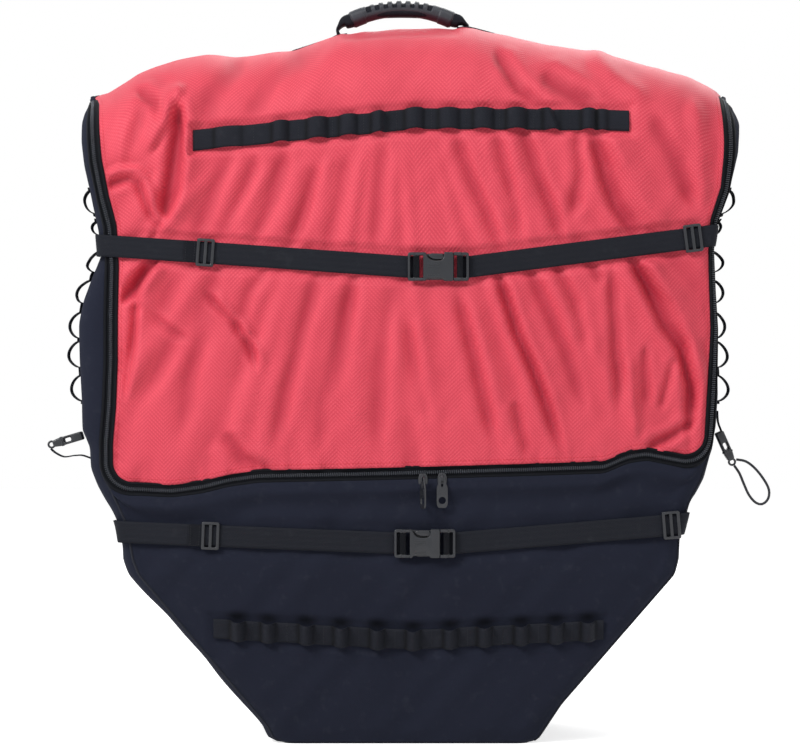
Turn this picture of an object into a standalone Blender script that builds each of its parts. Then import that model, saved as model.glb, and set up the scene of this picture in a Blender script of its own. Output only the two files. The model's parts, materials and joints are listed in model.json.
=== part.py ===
"""Soft bike travel bag: cloth shell, foam, zip, compression straps, loop rows and carry handle.

Frame: X to the right, +Y away from the front face, +Z up, origin under the middle of the base.
"""
import math

import bmesh
import bpy
import numpy as np
from mathutils import Matrix, Vector

# Whole bag, in metres
HALF_WIDTH = 0.3665
HALF_DEPTH = 0.140
CROWN_HEIGHT = 0.836
CROWN_RISE = 0.090
CORNER_RADIUS = 0.018
FRONT_BULGE = 0.010
SEAM_GAP = 0.0009
CROWN_SEAM_GAP = 0.0015
BODY_SEAM_GAP = 0.0037
REST_GAP = 0.0003
SLIP_GAP = 0.0006
WALL = 0.003
CLOTH = 0.0015
BASE_WALL = 0.003

# Heights along the wall, from the floor up and over the crown
fold_level_share = 0.62919
straight_level_share = 0.63397
spring_level_share = 0.83732
FOLD_LEVEL = fold_level_share * CROWN_HEIGHT
STRAIGHT_LEVEL = straight_level_share * CROWN_HEIGHT
SPRING_LEVEL = spring_level_share * CROWN_HEIGHT
CROWN_SEAM_ANGLE = math.radians(60.0)

# Side outline: share of the crown's height, share of the half width
side_height_shares = (0.0, 0.236, 0.299, 0.440, 0.526, 0.574, 0.634, 0.682, 0.718, 0.789, 0.861,
                      0.895, 1.0)
side_width_shares = (0.426, 0.854, 0.887, 0.993, 1.0, 0.999, 0.977, 0.966, 0.966, 1.015, 1.045,
                     1.045, 1.045)
depth_height_shares = (0.0, 0.236, 1.0)
depth_shares = (0.857, 1.0, 1.0)

# Ridge over the top: share of the half width, share of the crown's height
ridge_across_shares = (0.0, 0.191, 0.393, 0.611, 0.769, 0.909, 1.0, 1.045)
ridge_height_shares = (1.0, 0.997, 0.978, 0.963, 0.944, 0.919, 0.902, 0.880)

# Lower hem of the red lid: share of the half width, share of the crown's height
hem_across_shares = (-0.90, -0.72, -0.45, 0.0, 0.60, 0.76, 0.95)
hem_height_shares = (0.361, 0.359, 0.380, 0.384, 0.392, 0.410, 0.400)

# Side edges of the red cloth: share of the crown's height, shares of the half width
edge_height_shares = (0.35, 0.47, 0.53, 0.575, 0.656, 0.71, 0.76, 0.83, 0.89)
left_edge_shares = (0.900, 0.900, 0.895, 0.895, 0.891, 0.900, 0.933, 0.969, 0.990)
right_edge_shares = (0.950, 0.958, 0.966, 0.969, 0.963, 0.952, 0.974, 0.993, 0.990)
HEM_CORNER_RADIUS = 0.030

# Rows of the wall's grids: shares of the crown's height, then angles round the crown
low_row_shares = (0.12, 0.236, 0.299)
high_row_shares = (0.440, 0.526, 0.574)
upper_row_shares = (0.682, 0.718, 0.789)
CROWN_ROW_ANGLES = (math.radians(20.0), math.radians(40.0), math.radians(54.0))
CROWN_TOP_ANGLES = tuple(math.radians(turn) for turn in (67.0, 78.0, 90.0, 102.0, 113.0))
front_column_shares = (0.0, 0.12, 0.24, 0.36, 0.48, 0.60, 0.72, 0.82, 0.91, 0.96, 1.0)
BACK_WRAP = 0.0165
BACK_SEAM_GAP = 0.0035
CROWN_END_INSET = 0.0036

# Zip: the tape on the lid's side and the tape on the bag's side
ZIP_TAPE = 0.0062
ZIP_TAPE_THICKNESS = 0.0012
ZIP_BAG_TAPE = 0.0052
ZIP_END_GAP = 0.004
ZIP_SLIDER = Vector((0.011, 0.005, 0.015))
ZIP_SLIDER_LIFT = 0.0010
ZIP_SLIDER_ROUNDING = 0.0012
LEFT_SLIDER_X = 0.024
RIGHT_SLIDER_X = 0.046
PULL_TAB = Vector((0.013, 0.0018, 0.036))
PULL_TAB_HOLE_RADIUS = 0.0042
LEFT_TAB_TURN = math.radians(-65.0)

# Foam, base board and divider
LINING_GAP = 0.0007
SIDE_LINING_GAP = 0.0015
FOAM = 0.006
BASE_BOARD = 0.004
BASE_FOAM = 0.010
BASE_MARGIN = 0.0055
FOAM_BOTTOM = 0.022
foam_top_share = 0.76555
FOAM_EDGE_MARGIN = 0.016
FRONT_FOAM_DROP = 0.030
FOAM_COLUMNS = 8
DIVIDER = 0.006
DIVIDER_Y = 0.030
divider_top_share = 0.71770
DIVIDER_MARGIN = 0.0145
tie_down_reach_share = 0.68213
tie_down_height_shares = {"tie_down_upper": 0.55024, "tie_down_lower": 0.33493}

# Webbing straps round the front
WEBBING_WIDTH = 0.025
WEBBING = 0.0015
STRAP_LIFT = 0.0037
STRAP_SEWN_LIFT = WEBBING + REST_GAP + SLIP_GAP
STRAP_CORNER_RADIUS = 0.006
STRAP_SEWN_REACH = 0.016
STRAP_STEPS = 28
upper_strap_shares = {"left_z": 0.69019, "buckle_z": 0.65849, "right_z": 0.70335, "buckle_x": 0.11296}
lower_strap_shares = {"left_z": 0.29665, "buckle_z": 0.27990, "right_z": 0.30981, "buckle_x": 0.07094}

# Side-release buckle, lying along X with its socket half on the left
BUCKLE_LENGTH = 0.070
BUCKLE_HEIGHT = 0.033
BUCKLE_THICKNESS = 0.0115
BUCKLE_LIFT = 0.0010
BUCKLE_WALL = 0.0016
BUCKLE_FRAME = 0.018
BUCKLE_BAR = 0.0035
BUCKLE_FRAME_THICKNESS = 0.0045
BUCKLE_SPLIT = 0.017
SOCKET_WINDOW = (-0.010, 0.006)
TONGUE_HALF = 0.003
PRONG_INNER = 0.0075
PRONG_OUTER = 0.0125
PRONG_LENGTH = 0.024
PRONG_ROOT_GAP = REST_GAP

# Strap adjusters
GLIDE = Vector((0.0207, 0.0060, 0.032))
GLIDE_BAR = 0.0038
GLIDE_RAIL = 0.0028
GLIDE_LIFT = 0.0004
upper_glide_across_shares = (-0.61501, 0.91132)
lower_glide_across_shares = (-0.59918, 0.84311)

# Elastic loop rows on the front
ELASTIC = 0.0015
upper_loops_across_shares = (-0.65484, 0.05730, 0.71214)
upper_loops_height_shares = (0.83254, 0.86244, 0.86005)
lower_loops_across_shares = (-0.59209, 0.02729, 0.63302)
lower_loops_height_shares = (0.16089, 0.14593, 0.15909)
UPPER_ROW = {"loops": 10, "width": 0.026, "rise": 0.0075, "loop_share": 0.60}
LOWER_ROW = {"loops": 11, "width": 0.026, "rise": 0.0125, "loop_share": 0.62}

# Webbing loops down the sides
SIDE_LOOPS = 6
side_loop_bottom_share = 0.47249
side_loop_pitch_share = 0.042703
SIDE_LOOP_RISE = 0.014
SIDE_LOOP_WIDTH = 0.022
SIDE_LOOP_Y = -0.105
SIDE_LOOP_FULLNESS = 0.8
LOOP_STEPS = 10

# Carry handle
HANDLE_Y = -0.030
GRIP_HALF_LENGTH = 0.0605
GRIP_HALF_THICKNESS = 0.0095
GRIP_WIDTH_RATIO = 1.5
GRIP_END_LIFT = 0.012
GRIP_END_HEIGHT = CROWN_HEIGHT + GRIP_END_LIFT
GRIP_ARCH = 0.014
GRIP_SLOT_CLEARANCE = 0.0005
HANDLE_FOOT_X = 0.0775
HANDLE_STRIP_REACH = 0.128

# Small buckles on the sides
SIDE_BUCKLE = Vector((0.036, 0.016, 0.010))
SIDE_BUCKLE_Y = -0.100
SIDE_BUCKLE_ROUNDING = 0.0025
SIDE_RING_RADIUS = 0.0046
SIDE_RING_WIRE = 0.0014
left_buckle_height_share = 0.42045
LEFT_BUCKLE_OUT = 0.0300
LEFT_BUCKLE_TURN = math.radians(-16.5)
right_buckle_height_share = 0.41148
RIGHT_BUCKLE_OUT = 0.0199
RIGHT_BUCKLE_TURN = math.radians(66.0)
SIDE_WEBBING_WIDTH = 0.012
# Routes from the middle of the buckle that they hang on: out to the right, up
LEFT_WEBBING_ROUTE = ((-0.0200, -0.0109), (-0.0145, -0.0155), (-0.0045, -0.0200), (0.0085, -0.0185),
                      (0.0205, -0.0195))
LEFT_WEBBING_FOOT = (0.0080, -0.0315, -0.0515)
RIGHT_WEBBING_ROUTE = ((0.0, 0.0410), (0.0010, 0.0280), (0.0045, 0.0180))
TAIL_DIAMETER = 0.003
TAIL_ROUTE = ((0.0133, -0.0157), (0.0240, -0.0178), (0.0340, -0.0250), (0.0440, -0.0370),
              (0.0510, -0.0500), (0.0505, -0.0610), (0.0440, -0.0675), (0.0360, -0.0660),
              (0.0280, -0.0570), (0.0220, -0.0440), (0.0170, -0.0320), (0.0109, -0.0228))

RED = (0.78, 0.08, 0.10, 1.0)
NAVY = (0.016, 0.018, 0.032, 1.0)
BLACK = (0.020, 0.021, 0.026, 1.0)
PLASTIC = (0.035, 0.040, 0.050, 1.0)
FOAM_GREY = (0.30, 0.31, 0.33, 1.0)
BOARD = (0.05, 0.05, 0.05, 1.0)

for item in list(bpy.data.objects):
    bpy.data.objects.remove(item, do_unlink=True)
PARTS = bpy.data.collections.new("bike_travel_bag")
CUTTERS = bpy.data.collections.new("cutters")
bpy.context.scene.collection.children.link(PARTS)
bpy.context.scene.collection.children.link(CUTTERS)


def new_material(name, color, roughness):
    """A plain material in the part's own colour."""
    material = bpy.data.materials.new(name)
    material.use_nodes = True
    shader = material.node_tree.nodes["Principled BSDF"]
    shader.inputs["Base Color"].default_value = color
    shader.inputs["Roughness"].default_value = roughness
    return material


def finish_object(obj, color, roughness=0.8):
    """Put an object in the parts collection with a material of its own."""
    for collection in list(obj.users_collection):
        collection.objects.unlink(obj)
    PARTS.objects.link(obj)
    obj.data.materials.clear()
    obj.data.materials.append(new_material(obj.name + "_finish", color, roughness))
    return obj


# The bag's skin


def half_width(height):
    """Half the bag's width at a height."""
    return HALF_WIDTH * float(np.interp(height / CROWN_HEIGHT, side_height_shares, side_width_shares))


def half_depth(height):
    """Half the bag's depth at a height, before the crown rounds over."""
    return HALF_DEPTH * float(np.interp(height / CROWN_HEIGHT, depth_height_shares, depth_shares))


def ridge_height(across):
    """Height of the ridge over the top at a distance from the middle."""
    share = float(np.interp(abs(across) / HALF_WIDTH, ridge_across_shares, ridge_height_shares))
    return CROWN_HEIGHT * share


def crown_angle(level):
    """Angle round the crown, 0 where the wall is upright and a right angle at the ridge."""
    return max(0.0, (level - SPRING_LEVEL) / CROWN_RISE * math.pi / 2)


def height_at(across, level):
    """Height of a point from its level along the wall."""
    if level <= STRAIGHT_LEVEL:
        return level
    spring = ridge_height(across) - CROWN_RISE
    if level <= SPRING_LEVEL:
        share = (level - STRAIGHT_LEVEL) / (SPRING_LEVEL - STRAIGHT_LEVEL)
        return STRAIGHT_LEVEL + share * (spring - STRAIGHT_LEVEL)
    return spring + CROWN_RISE * math.sin(crown_angle(level))


def level_at(across, height):
    """Level along the wall of a height."""
    if height <= STRAIGHT_LEVEL:
        return height
    spring = ridge_height(across) - CROWN_RISE
    if height > spring:
        return SPRING_LEVEL + CROWN_RISE * math.asin((height - spring) / CROWN_RISE) * 2 / math.pi
    share = (height - STRAIGHT_LEVEL) / (spring - STRAIGHT_LEVEL)
    return STRAIGHT_LEVEL + share * (SPRING_LEVEL - STRAIGHT_LEVEL)


def section_at(along, level, lift, radius):
    """Half width, half depth, corner radius and height of the section through a point."""
    across = min(abs(along), half_width(min(level, SPRING_LEVEL)))
    height = height_at(across, level)
    width = half_width(height) + lift
    depth = half_depth(height) * math.cos(crown_angle(level)) + lift
    return width, depth, min(radius + lift, depth / 2), height


def shell_point(along, level, lift=0.0, radius=CORNER_RADIUS, back=False):
    """A point of the skin, by its distance round from the middle of the front."""
    width, depth, round_off, height = section_at(along, level, lift, radius)
    distance = abs(along)
    flat = width - round_off
    quarter = round_off * math.pi / 2
    side = 2 * (depth - round_off)
    if distance <= flat:
        x, y = distance, -depth
    elif distance <= flat + quarter:
        turn = (distance - flat) / round_off
        x = flat + round_off * math.sin(turn)
        y = -depth + round_off * (1 - math.cos(turn))
    elif distance <= flat + quarter + side:
        x, y = width, -depth + round_off + distance - flat - quarter
    elif distance <= flat + 2 * quarter + side:
        turn = (distance - flat - quarter - side) / round_off
        x = flat + round_off * math.cos(turn)
        y = depth - round_off * (1 - math.sin(turn))
    else:
        x, y = 2 * (flat + quarter) + side - distance, depth
    if back:
        y = -y
    elif distance < flat:
        y -= FRONT_BULGE * (1 - (x / flat) ** 2) * math.sin(math.pi * height / CROWN_HEIGHT)
    return Vector((math.copysign(x, along), y, height))


def back_reach(level):
    """Half width of the back panel, inside the gussets' wraps round the back corners."""
    width, _, round_off, _ = section_at(HALF_WIDTH, level, 0.0, CORNER_RADIUS)
    return width - round_off - BACK_WRAP


def grid_patch(name, place, columns, rows, thickness, color, flip=False, cutter=False):
    """A sheet: a grid mapped by place(u, v) with u and v from 0 to 1, thickened inwards."""
    mesh = bpy.data.meshes.new(name)
    sheet = bmesh.new()
    bmesh.ops.create_grid(sheet, x_segments=columns, y_segments=rows, size=0.5)
    for vert in sheet.verts:
        vert.co = place(vert.co.x + 0.5, vert.co.y + 0.5)
    if flip:
        bmesh.ops.reverse_faces(sheet, faces=sheet.faces)
    sheet.to_mesh(mesh)
    sheet.free()
    obj = bpy.data.objects.new(name, mesh)
    (CUTTERS if cutter else PARTS).objects.link(obj)
    wall = obj.modifiers.new("wall", "SOLIDIFY")
    wall.thickness = thickness
    wall.offset = -1.0
    if cutter:
        obj.hide_render = True
        obj.display_type = "WIRE"
        return obj
    return finish_object(obj, color)


# The red cloth's outline and the zip that runs round it


def hem_height(across):
    """Height of the lid's lower hem."""
    return CROWN_HEIGHT * float(np.interp(across / HALF_WIDTH, hem_across_shares, hem_height_shares))


def red_edge(side, level):
    """Distance of the red cloth's edge from the middle, on the left (-1) or right (+1)."""
    shares = left_edge_shares if side < 0 else right_edge_shares
    return HALF_WIDTH * float(np.interp(level / CROWN_HEIGHT, edge_height_shares, shares))


ARC_STEPS = 4
HEM_STEPS = 14
WALL_BOTTOM = BASE_WALL + REST_GAP
LOW_ROWS = [WALL_BOTTOM] + [share * CROWN_HEIGHT for share in low_row_shares]
HIGH_ROWS = [share * CROWN_HEIGHT for share in high_row_shares]
UPPER_ROWS = [level_at(HALF_WIDTH, share * CROWN_HEIGHT) for share in upper_row_shares]
UPPER_ROWS += [SPRING_LEVEL + CROWN_RISE * turn / (math.pi / 2) for turn in CROWN_ROW_ANGLES]
LEFT_CORNER_S = HEM_CORNER_RADIUS - red_edge(-1, 0.0)
RIGHT_CORNER_S = red_edge(1, 0.0) - HEM_CORNER_RADIUS
TOP_LEVEL = SPRING_LEVEL + CROWN_RISE * CROWN_SEAM_ANGLE / (math.pi / 2)
ZIP_TOP = TOP_LEVEL - ZIP_END_GAP
COLUMN_SHARES = [-share for share in front_column_shares[:0:-1]] + list(front_column_shares)


def hem_line(offset):
    """Points round the lower end of the red cloth, an offset outside its edge, left to right."""
    points = []
    reach = HEM_CORNER_RADIUS + offset
    for centre, start in ((LEFT_CORNER_S, math.pi), (RIGHT_CORNER_S, 1.5 * math.pi)):
        middle = hem_height(centre) + HEM_CORNER_RADIUS
        for step in range(ARC_STEPS + 1):
            turn = start + step / ARC_STEPS * math.pi / 2
            points.append((centre + reach * math.cos(turn), middle + reach * math.sin(turn)))
        if centre == LEFT_CORNER_S:
            for step in range(1, HEM_STEPS):
                along = LEFT_CORNER_S + step / HEM_STEPS * (RIGHT_CORNER_S - LEFT_CORNER_S)
                points.append((along, hem_height(along) - offset))
    return points


def edge_line(side, offset, low, high):
    """Points up one side edge of the red cloth between two levels."""
    between = [level for level in HIGH_ROWS + [FOLD_LEVEL] + UPPER_ROWS if low < level < high]
    levels = [low] + [level for level in between if min(level - low, high - level) > WALL] + [high]
    return [(side * (red_edge(side, level) + offset), level) for level in levels]


def zip_line(offset, high):
    """The whole U: down the left edge, along the hem and up the right edge."""
    hem = hem_line(offset)
    left = edge_line(-1, offset, hem[0][1], high)[1:]
    right = edge_line(1, offset, hem[-1][1], high)[1:]
    return left[::-1] + hem + right


def band(name, inner_points, outer_points, color, thickness=ZIP_TAPE_THICKNESS):
    """A narrow sheet between two lines of points on the skin."""
    count = len(inner_points) - 1

    def place(u, v):
        index = round(u * count)
        outer, inner = Vector(outer_points[index]), Vector(inner_points[index])
        spot = outer.lerp(inner, v)
        return shell_point(spot.x, spot.y)

    return grid_patch(name, place, count, 1, thickness, color)


def scaled_edge(along, low, level):
    """Carry a point of the hem up a column to another level, following the side edges."""
    side = -1 if along < 0 else 1
    return along * red_edge(side, level) / red_edge(side, low)


LID_POINTS = hem_line(0.0)


LID_ROWS = HIGH_ROWS[1:] + [FOLD_LEVEL - SEAM_GAP]
FRONT_ROWS = [FOLD_LEVEL + SEAM_GAP] + UPPER_ROWS + [TOP_LEVEL]


def pick(rows, v):
    """The row of a list at a share of its length."""
    return rows[round(v * (len(rows) - 1))]


def place_lid(u, v):
    along, low = pick(LID_POINTS, u)
    level = pick([low] + LID_ROWS, v)
    return shell_point(scaled_edge(along, low, level), level)


def place_upper_front(u, v):
    level = pick(FRONT_ROWS, v)
    share = pick(COLUMN_SHARES, u)
    return shell_point(share * red_edge(math.copysign(1, share), level), level)


ZIP_OUT = ZIP_TAPE + SEAM_GAP + ZIP_BAG_TAPE
BODY_POINTS = hem_line(ZIP_OUT + BODY_SEAM_GAP)


def lower_seam(side, level):
    """Distance of the seam between the lower front and a side gusset, below the hem's corner."""
    along, top = BODY_POINTS[0 if side < 0 else -1]
    return abs(along) * half_width(level) / half_width(top)


def place_lower_front(u, v):
    along, top = pick(BODY_POINTS, u)
    level = pick(LOW_ROWS + [top], v)
    corner = half_width(BODY_POINTS[0 if along < 0 else -1][1])
    spread = half_width(level) / corner if level < top else 1.0
    return shell_point(along * spread, level)


def gusset_front(side, level):
    """Distance round to the front edge of a side gusset."""
    top = BODY_POINTS[0 if side < 0 else -1][1]
    if level <= top:
        return lower_seam(side, level) + BODY_SEAM_GAP
    return red_edge(side, level) + ZIP_OUT + BODY_SEAM_GAP


GUSSET_STEPS = 4
GUSSET_COLUMNS = 2 * GUSSET_STEPS + 3


def gusset_rows(side):
    """Levels of a side gusset's rows."""
    corner = BODY_POINTS[0 if side < 0 else -1][1]
    above = [level for level in HIGH_ROWS if level > corner + WALL]
    return LOW_ROWS + [corner] + above + [FOLD_LEVEL] + UPPER_ROWS + [TOP_LEVEL]


def gusset_place(side):
    rows = gusset_rows(side)

    def place(u, v):
        level = pick(rows, v)
        width, depth, round_off, _ = section_at(HALF_WIDTH, level, 0.0, CORNER_RADIUS)
        front = gusset_front(side, level)
        corner = width - round_off + round_off * math.pi / 2
        back = corner + 2 * (depth - round_off)
        corner = max(corner, front + ZIP_OUT)
        end = back + round_off * math.pi / 2
        stops = [front + step / GUSSET_STEPS * (corner - front) for step in range(GUSSET_STEPS)]
        stops += [corner, (corner + back) / 2]
        stops += [back + step / GUSSET_STEPS * (end - back) for step in range(GUSSET_STEPS + 1)]
        return shell_point(side * pick(stops + [end + BACK_WRAP], u), level)

    return place


BACK_ROWS = LOW_ROWS + HIGH_ROWS + [FOLD_LEVEL] + UPPER_ROWS + [TOP_LEVEL]


def back_columns():
    """Columns of the back panel: those of the crown that lie inside its edges, and its edges."""
    reach = back_reach(TOP_LEVEL) - BACK_SEAM_GAP
    inner = [share * red_edge(1, TOP_LEVEL) for share in COLUMN_SHARES]
    return [-reach] + [column for column in inner if abs(column) < reach - BACK_WRAP] + [reach]


def place_back(u, v):
    level = pick(BACK_ROWS, v)
    column = pick(back_columns(), u) / back_columns()[-1]
    return shell_point(column * (back_reach(level) - BACK_SEAM_GAP), level, back=True)


CROWN_REACH = HALF_WIDTH * ridge_across_shares[-1] - CROWN_END_INSET


def crown_columns():
    """Places across the bag of the crown's columns: the front's own, and one more at each end."""
    inner = [share * red_edge(1, TOP_LEVEL) for share in COLUMN_SHARES]
    return [-CROWN_REACH, -HALF_WIDTH] + inner + [HALF_WIDTH, CROWN_REACH]


def place_crown(u, v):
    across = pick(crown_columns(), u)
    start = CROWN_SEAM_ANGLE + CROWN_SEAM_GAP / HALF_DEPTH
    turn = pick([start] + list(CROWN_TOP_ANGLES) + [math.pi - start], v)
    rise = CROWN_RISE * math.sin(turn)
    return Vector((across, -HALF_DEPTH * math.cos(turn), ridge_height(across) - CROWN_RISE + rise))


def plate(name, width, depth, radius, bottom, thickness, color):
    """A flat rounded plate in the level plane."""
    curve = bpy.data.curves.new(name, "CURVE")
    curve.dimensions = "2D"
    curve.fill_mode = "BOTH"
    curve.extrude = thickness / 2
    spline = curve.splines.new("POLY")
    steps = 5
    points = []
    for quarter, (sx, sy) in enumerate(((1, 1), (-1, 1), (-1, -1), (1, -1))):
        for step in range(steps + 1):
            turn = (quarter + step / steps) * math.pi / 2
            x = sx * (width - radius) + radius * math.cos(turn)
            points.append((x, sy * (depth - radius) + radius * math.sin(turn)))
    spline.points.add(len(points) - 1)
    for point, (x, y) in zip(spline.points, points):
        point.co = (x, y, 0.0, 1.0)
    spline.use_cyclic_u = True
    obj = bpy.data.objects.new(name, curve)
    obj.location.z = bottom + thickness / 2
    PARTS.objects.link(obj)
    return finish_object(obj, color)


def make_shell():
    """Outer cloth panels and the zip tapes."""
    columns = len(COLUMN_SHARES) - 1
    grid_patch("front_upper_panel", place_upper_front, columns, len(FRONT_ROWS) - 1, CLOTH, RED)
    grid_patch("crown_panel", place_crown, columns + 4, len(CROWN_TOP_ANGLES) + 1, CLOTH, RED)
    grid_patch("lid_panel", place_lid, len(LID_POINTS) - 1, len(LID_ROWS), CLOTH, RED)
    grid_patch("front_lower_panel", place_lower_front, len(BODY_POINTS) - 1, len(LOW_ROWS), CLOTH,
               NAVY)
    for side, name in ((-1, "side_panel_left"), (1, "side_panel_right")):
        rows = len(gusset_rows(side)) - 1
        grid_patch(name, gusset_place(side), GUSSET_COLUMNS, rows, WALL, NAVY, flip=side < 0)
    grid_patch("back_panel", place_back, len(back_columns()) - 1, len(BACK_ROWS) - 1, WALL, NAVY,
               flip=True)
    plate("bottom_panel", half_width(0.0), half_depth(0.0), CORNER_RADIUS, 0.0, BASE_WALL, NAVY)

    lid_start, lid_end = SEAM_GAP, SEAM_GAP + ZIP_TAPE - SEAM_GAP
    bag_start = ZIP_TAPE + SEAM_GAP
    under_fold = FOLD_LEVEL - SEAM_GAP
    band("zip_tape_lid", zip_line(lid_start, under_fold), zip_line(lid_end, under_fold), BLACK)
    band("zip_tape_bag", zip_line(bag_start, ZIP_TOP), zip_line(ZIP_OUT, ZIP_TOP), BLACK)
    for side, name in ((-1, "zip_tape_upper_left"), (1, "zip_tape_upper_right")):
        over_fold = FOLD_LEVEL + SEAM_GAP
        inner = edge_line(side, lid_start, over_fold, ZIP_TOP)
        outer = edge_line(side, lid_end, over_fold, ZIP_TOP)
        if side < 0:
            inner, outer = inner[::-1], outer[::-1]
        band(name, inner, outer, BLACK)


def make_lining():
    """Base board, foam pads, divider and tie-down straps inside."""
    width = half_width(0.0) - BASE_MARGIN
    depth = half_depth(0.0) - BASE_MARGIN
    board = BASE_WALL + REST_GAP
    foam = board + BASE_BOARD + REST_GAP
    plate("base_board", width, depth, CORNER_RADIUS, board, BASE_BOARD, BOARD)
    plate("base_foam", width, depth, CORNER_RADIUS, foam, BASE_FOAM, FOAM_GREY)
    inset = -(WALL + LINING_GAP)
    between = LOW_ROWS[1:] + HIGH_ROWS + [FOLD_LEVEL] + UPPER_ROWS
    foam_top = foam_top_share * CROWN_HEIGHT
    rows = [FOAM_BOTTOM] + [level for level in between if level < foam_top - WALL] + [foam_top]

    def place_back_foam(u, v):
        level = pick(rows, v)
        reach = half_width(height_at(HALF_WIDTH, level)) - CORNER_RADIUS - FOAM_EDGE_MARGIN
        return shell_point((2 * u - 1) * reach, level, inset, back=True)

    top = min(hem_height(0.0), hem_height(LEFT_CORNER_S)) - FRONT_FOAM_DROP
    front_rows = [FOAM_BOTTOM] + LOW_ROWS[1:] + [top]

    def place_front_foam(u, v):
        level = pick(front_rows, v)
        reach = half_width(level) - CORNER_RADIUS - FOAM_EDGE_MARGIN
        return shell_point((2 * u - 1) * reach, level, -(CLOTH + LINING_GAP))

    def side_foam_place(side):
        def place(u, v):
            height = height_at(HALF_WIDTH, pick(rows, v))
            reach = half_depth(height) - CORNER_RADIUS - FOAM_EDGE_MARGIN
            x = half_width(height) - WALL - SIDE_LINING_GAP
            return Vector((side * x, (2 * u - 1) * reach, height))

        return place

    count = len(rows) - 1
    grid_patch("foam_back", place_back_foam, FOAM_COLUMNS, count, FOAM, FOAM_GREY, flip=True)
    grid_patch("foam_front", place_front_foam, FOAM_COLUMNS, len(front_rows) - 1, FOAM, FOAM_GREY)
    grid_patch("foam_left", side_foam_place(-1), 2, count, FOAM, FOAM_GREY, flip=True)
    grid_patch("foam_right", side_foam_place(1), 2, count, FOAM, FOAM_GREY)

    divider_bottom = foam + BASE_FOAM + REST_GAP

    heights = [height_at(HALF_WIDTH, level) for level in rows[1:-1]]
    divider_top = divider_top_share * CROWN_HEIGHT
    divider_rows = [divider_bottom] + [z for z in heights if z < divider_top - WALL] + [divider_top]

    def place_divider(u, v):
        height = pick(divider_rows, v)
        return Vector(((2 * u - 1) * (half_width(height) - DIVIDER_MARGIN), DIVIDER_Y, height))

    grid_patch("wheel_divider", place_divider, 2, len(divider_rows) - 1, DIVIDER, FOAM_GREY)
    for name, share in tie_down_height_shares.items():
        def place_strap(u, v, share=share):
            x = (2 * u - 1) * tie_down_reach_share * HALF_WIDTH
            z = share * CROWN_HEIGHT + (v - 0.5) * WEBBING_WIDTH
            return Vector((x, DIVIDER_Y - REST_GAP - WEBBING, z))

        grid_patch(name, place_strap, 2, 1, WEBBING, BLACK)


# Small hard parts are built from boxes joined and cut by booleans


def box_mesh(name, low, high):
    """A box between two corners, as a mesh from a primitive."""
    mesh = bpy.data.meshes.new(name)
    solid = bmesh.new()
    bmesh.ops.create_cube(solid, size=1.0)
    low, high = Vector(low), Vector(high)
    bmesh.ops.scale(solid, vec=high - low, verts=solid.verts)
    bmesh.ops.translate(solid, vec=(low + high) / 2, verts=solid.verts)
    solid.to_mesh(mesh)
    solid.free()
    return mesh


def boolean(obj, mesh, operation):
    """Join or cut an object with a helper mesh that moves with it."""
    helper = bpy.data.objects.new(mesh.name, mesh)
    CUTTERS.objects.link(helper)
    helper.parent = obj
    helper.hide_render = True
    helper.display_type = "WIRE"
    change = obj.modifiers.new(mesh.name, "BOOLEAN")
    change.operation = operation
    change.object = helper
    change.solver = "EXACT"


def box_part(name, corners, color, joins=(), cuts=(), rounding=0.0):
    """A part that starts as one box, with more boxes joined on and others cut out."""
    obj = bpy.data.objects.new(name, box_mesh(name, *corners))
    PARTS.objects.link(obj)
    for index, (low, high) in enumerate(joins):
        boolean(obj, box_mesh(f"{name}_join_{index}", low, high), "UNION")
    for index, (low, high) in enumerate(cuts):
        boolean(obj, box_mesh(f"{name}_cut_{index}", low, high), "DIFFERENCE")
    if rounding:
        edge = obj.modifiers.new("edge", "BEVEL")
        edge.width = rounding
        edge.segments = 2
        edge.limit_method = "ANGLE"
    return finish_object(obj, color, 0.45)


def strap_places(shares):
    """Places of a compression strap from its shares of the bag's half width and height."""
    return {key: share * (HALF_WIDTH if key == "buckle_x" else CROWN_HEIGHT)
            for key, share in shares.items()}


UPPER_STRAP = strap_places(upper_strap_shares)
LOWER_STRAP = strap_places(lower_strap_shares)


def strap_height(strap, x):
    """Height of a compression strap's middle at a place across the bag."""
    middle, reach = strap["buckle_x"], BUCKLE_LENGTH / 2
    places = (-HALF_WIDTH, middle - reach, middle + reach, HALF_WIDTH)
    heights = (strap["left_z"], strap["buckle_z"], strap["buckle_z"], strap["right_z"])
    return float(np.interp(x, places, heights))


def strap_slope(strap, x):
    """Slope of a compression strap, as an angle in the plane of the front."""
    step = WEBBING_WIDTH
    side = -1 if x < strap["buckle_x"] else 1
    rise = strap_height(strap, x + side * step) - strap_height(strap, x)
    return math.atan2(side * rise, step)


def make_strap(name, strap, side):
    """One half of a compression strap, from its sewn end on the gusset to the buckle."""
    inner = strap["buckle_x"] + side * (BUCKLE_LENGTH / 2 - BUCKLE_BAR - WEBBING)
    edge_height = strap_height(strap, side * HALF_WIDTH)
    width = half_width(edge_height)
    flat_end = width - STRAP_CORNER_RADIUS
    outer = side * (flat_end + STRAP_CORNER_RADIUS * math.pi / 2 + STRAP_SEWN_REACH)

    def place(u, v):
        share = u if side > 0 else 1 - u
        along = inner + share * (outer - inner)
        x = side * min(side * along, width)
        height = strap_height(strap, x) + (v - 0.5) * WEBBING_WIDTH
        sewn = max(0.0, (abs(along) - flat_end) / (abs(outer) - flat_end))
        lift = STRAP_LIFT + sewn * (STRAP_SEWN_LIFT - STRAP_LIFT)
        radius = STRAP_CORNER_RADIUS
        return shell_point(along, level_at(x, height), lift, radius)

    grid_patch(name, place, STRAP_STEPS, 2, WEBBING, BLACK)


def front_point(x, height):
    """Point of the front cloth, with the sharper corner that the straps pull into it."""
    return shell_point(x, level_at(x, height), 0.0, STRAP_CORNER_RADIUS)


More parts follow.
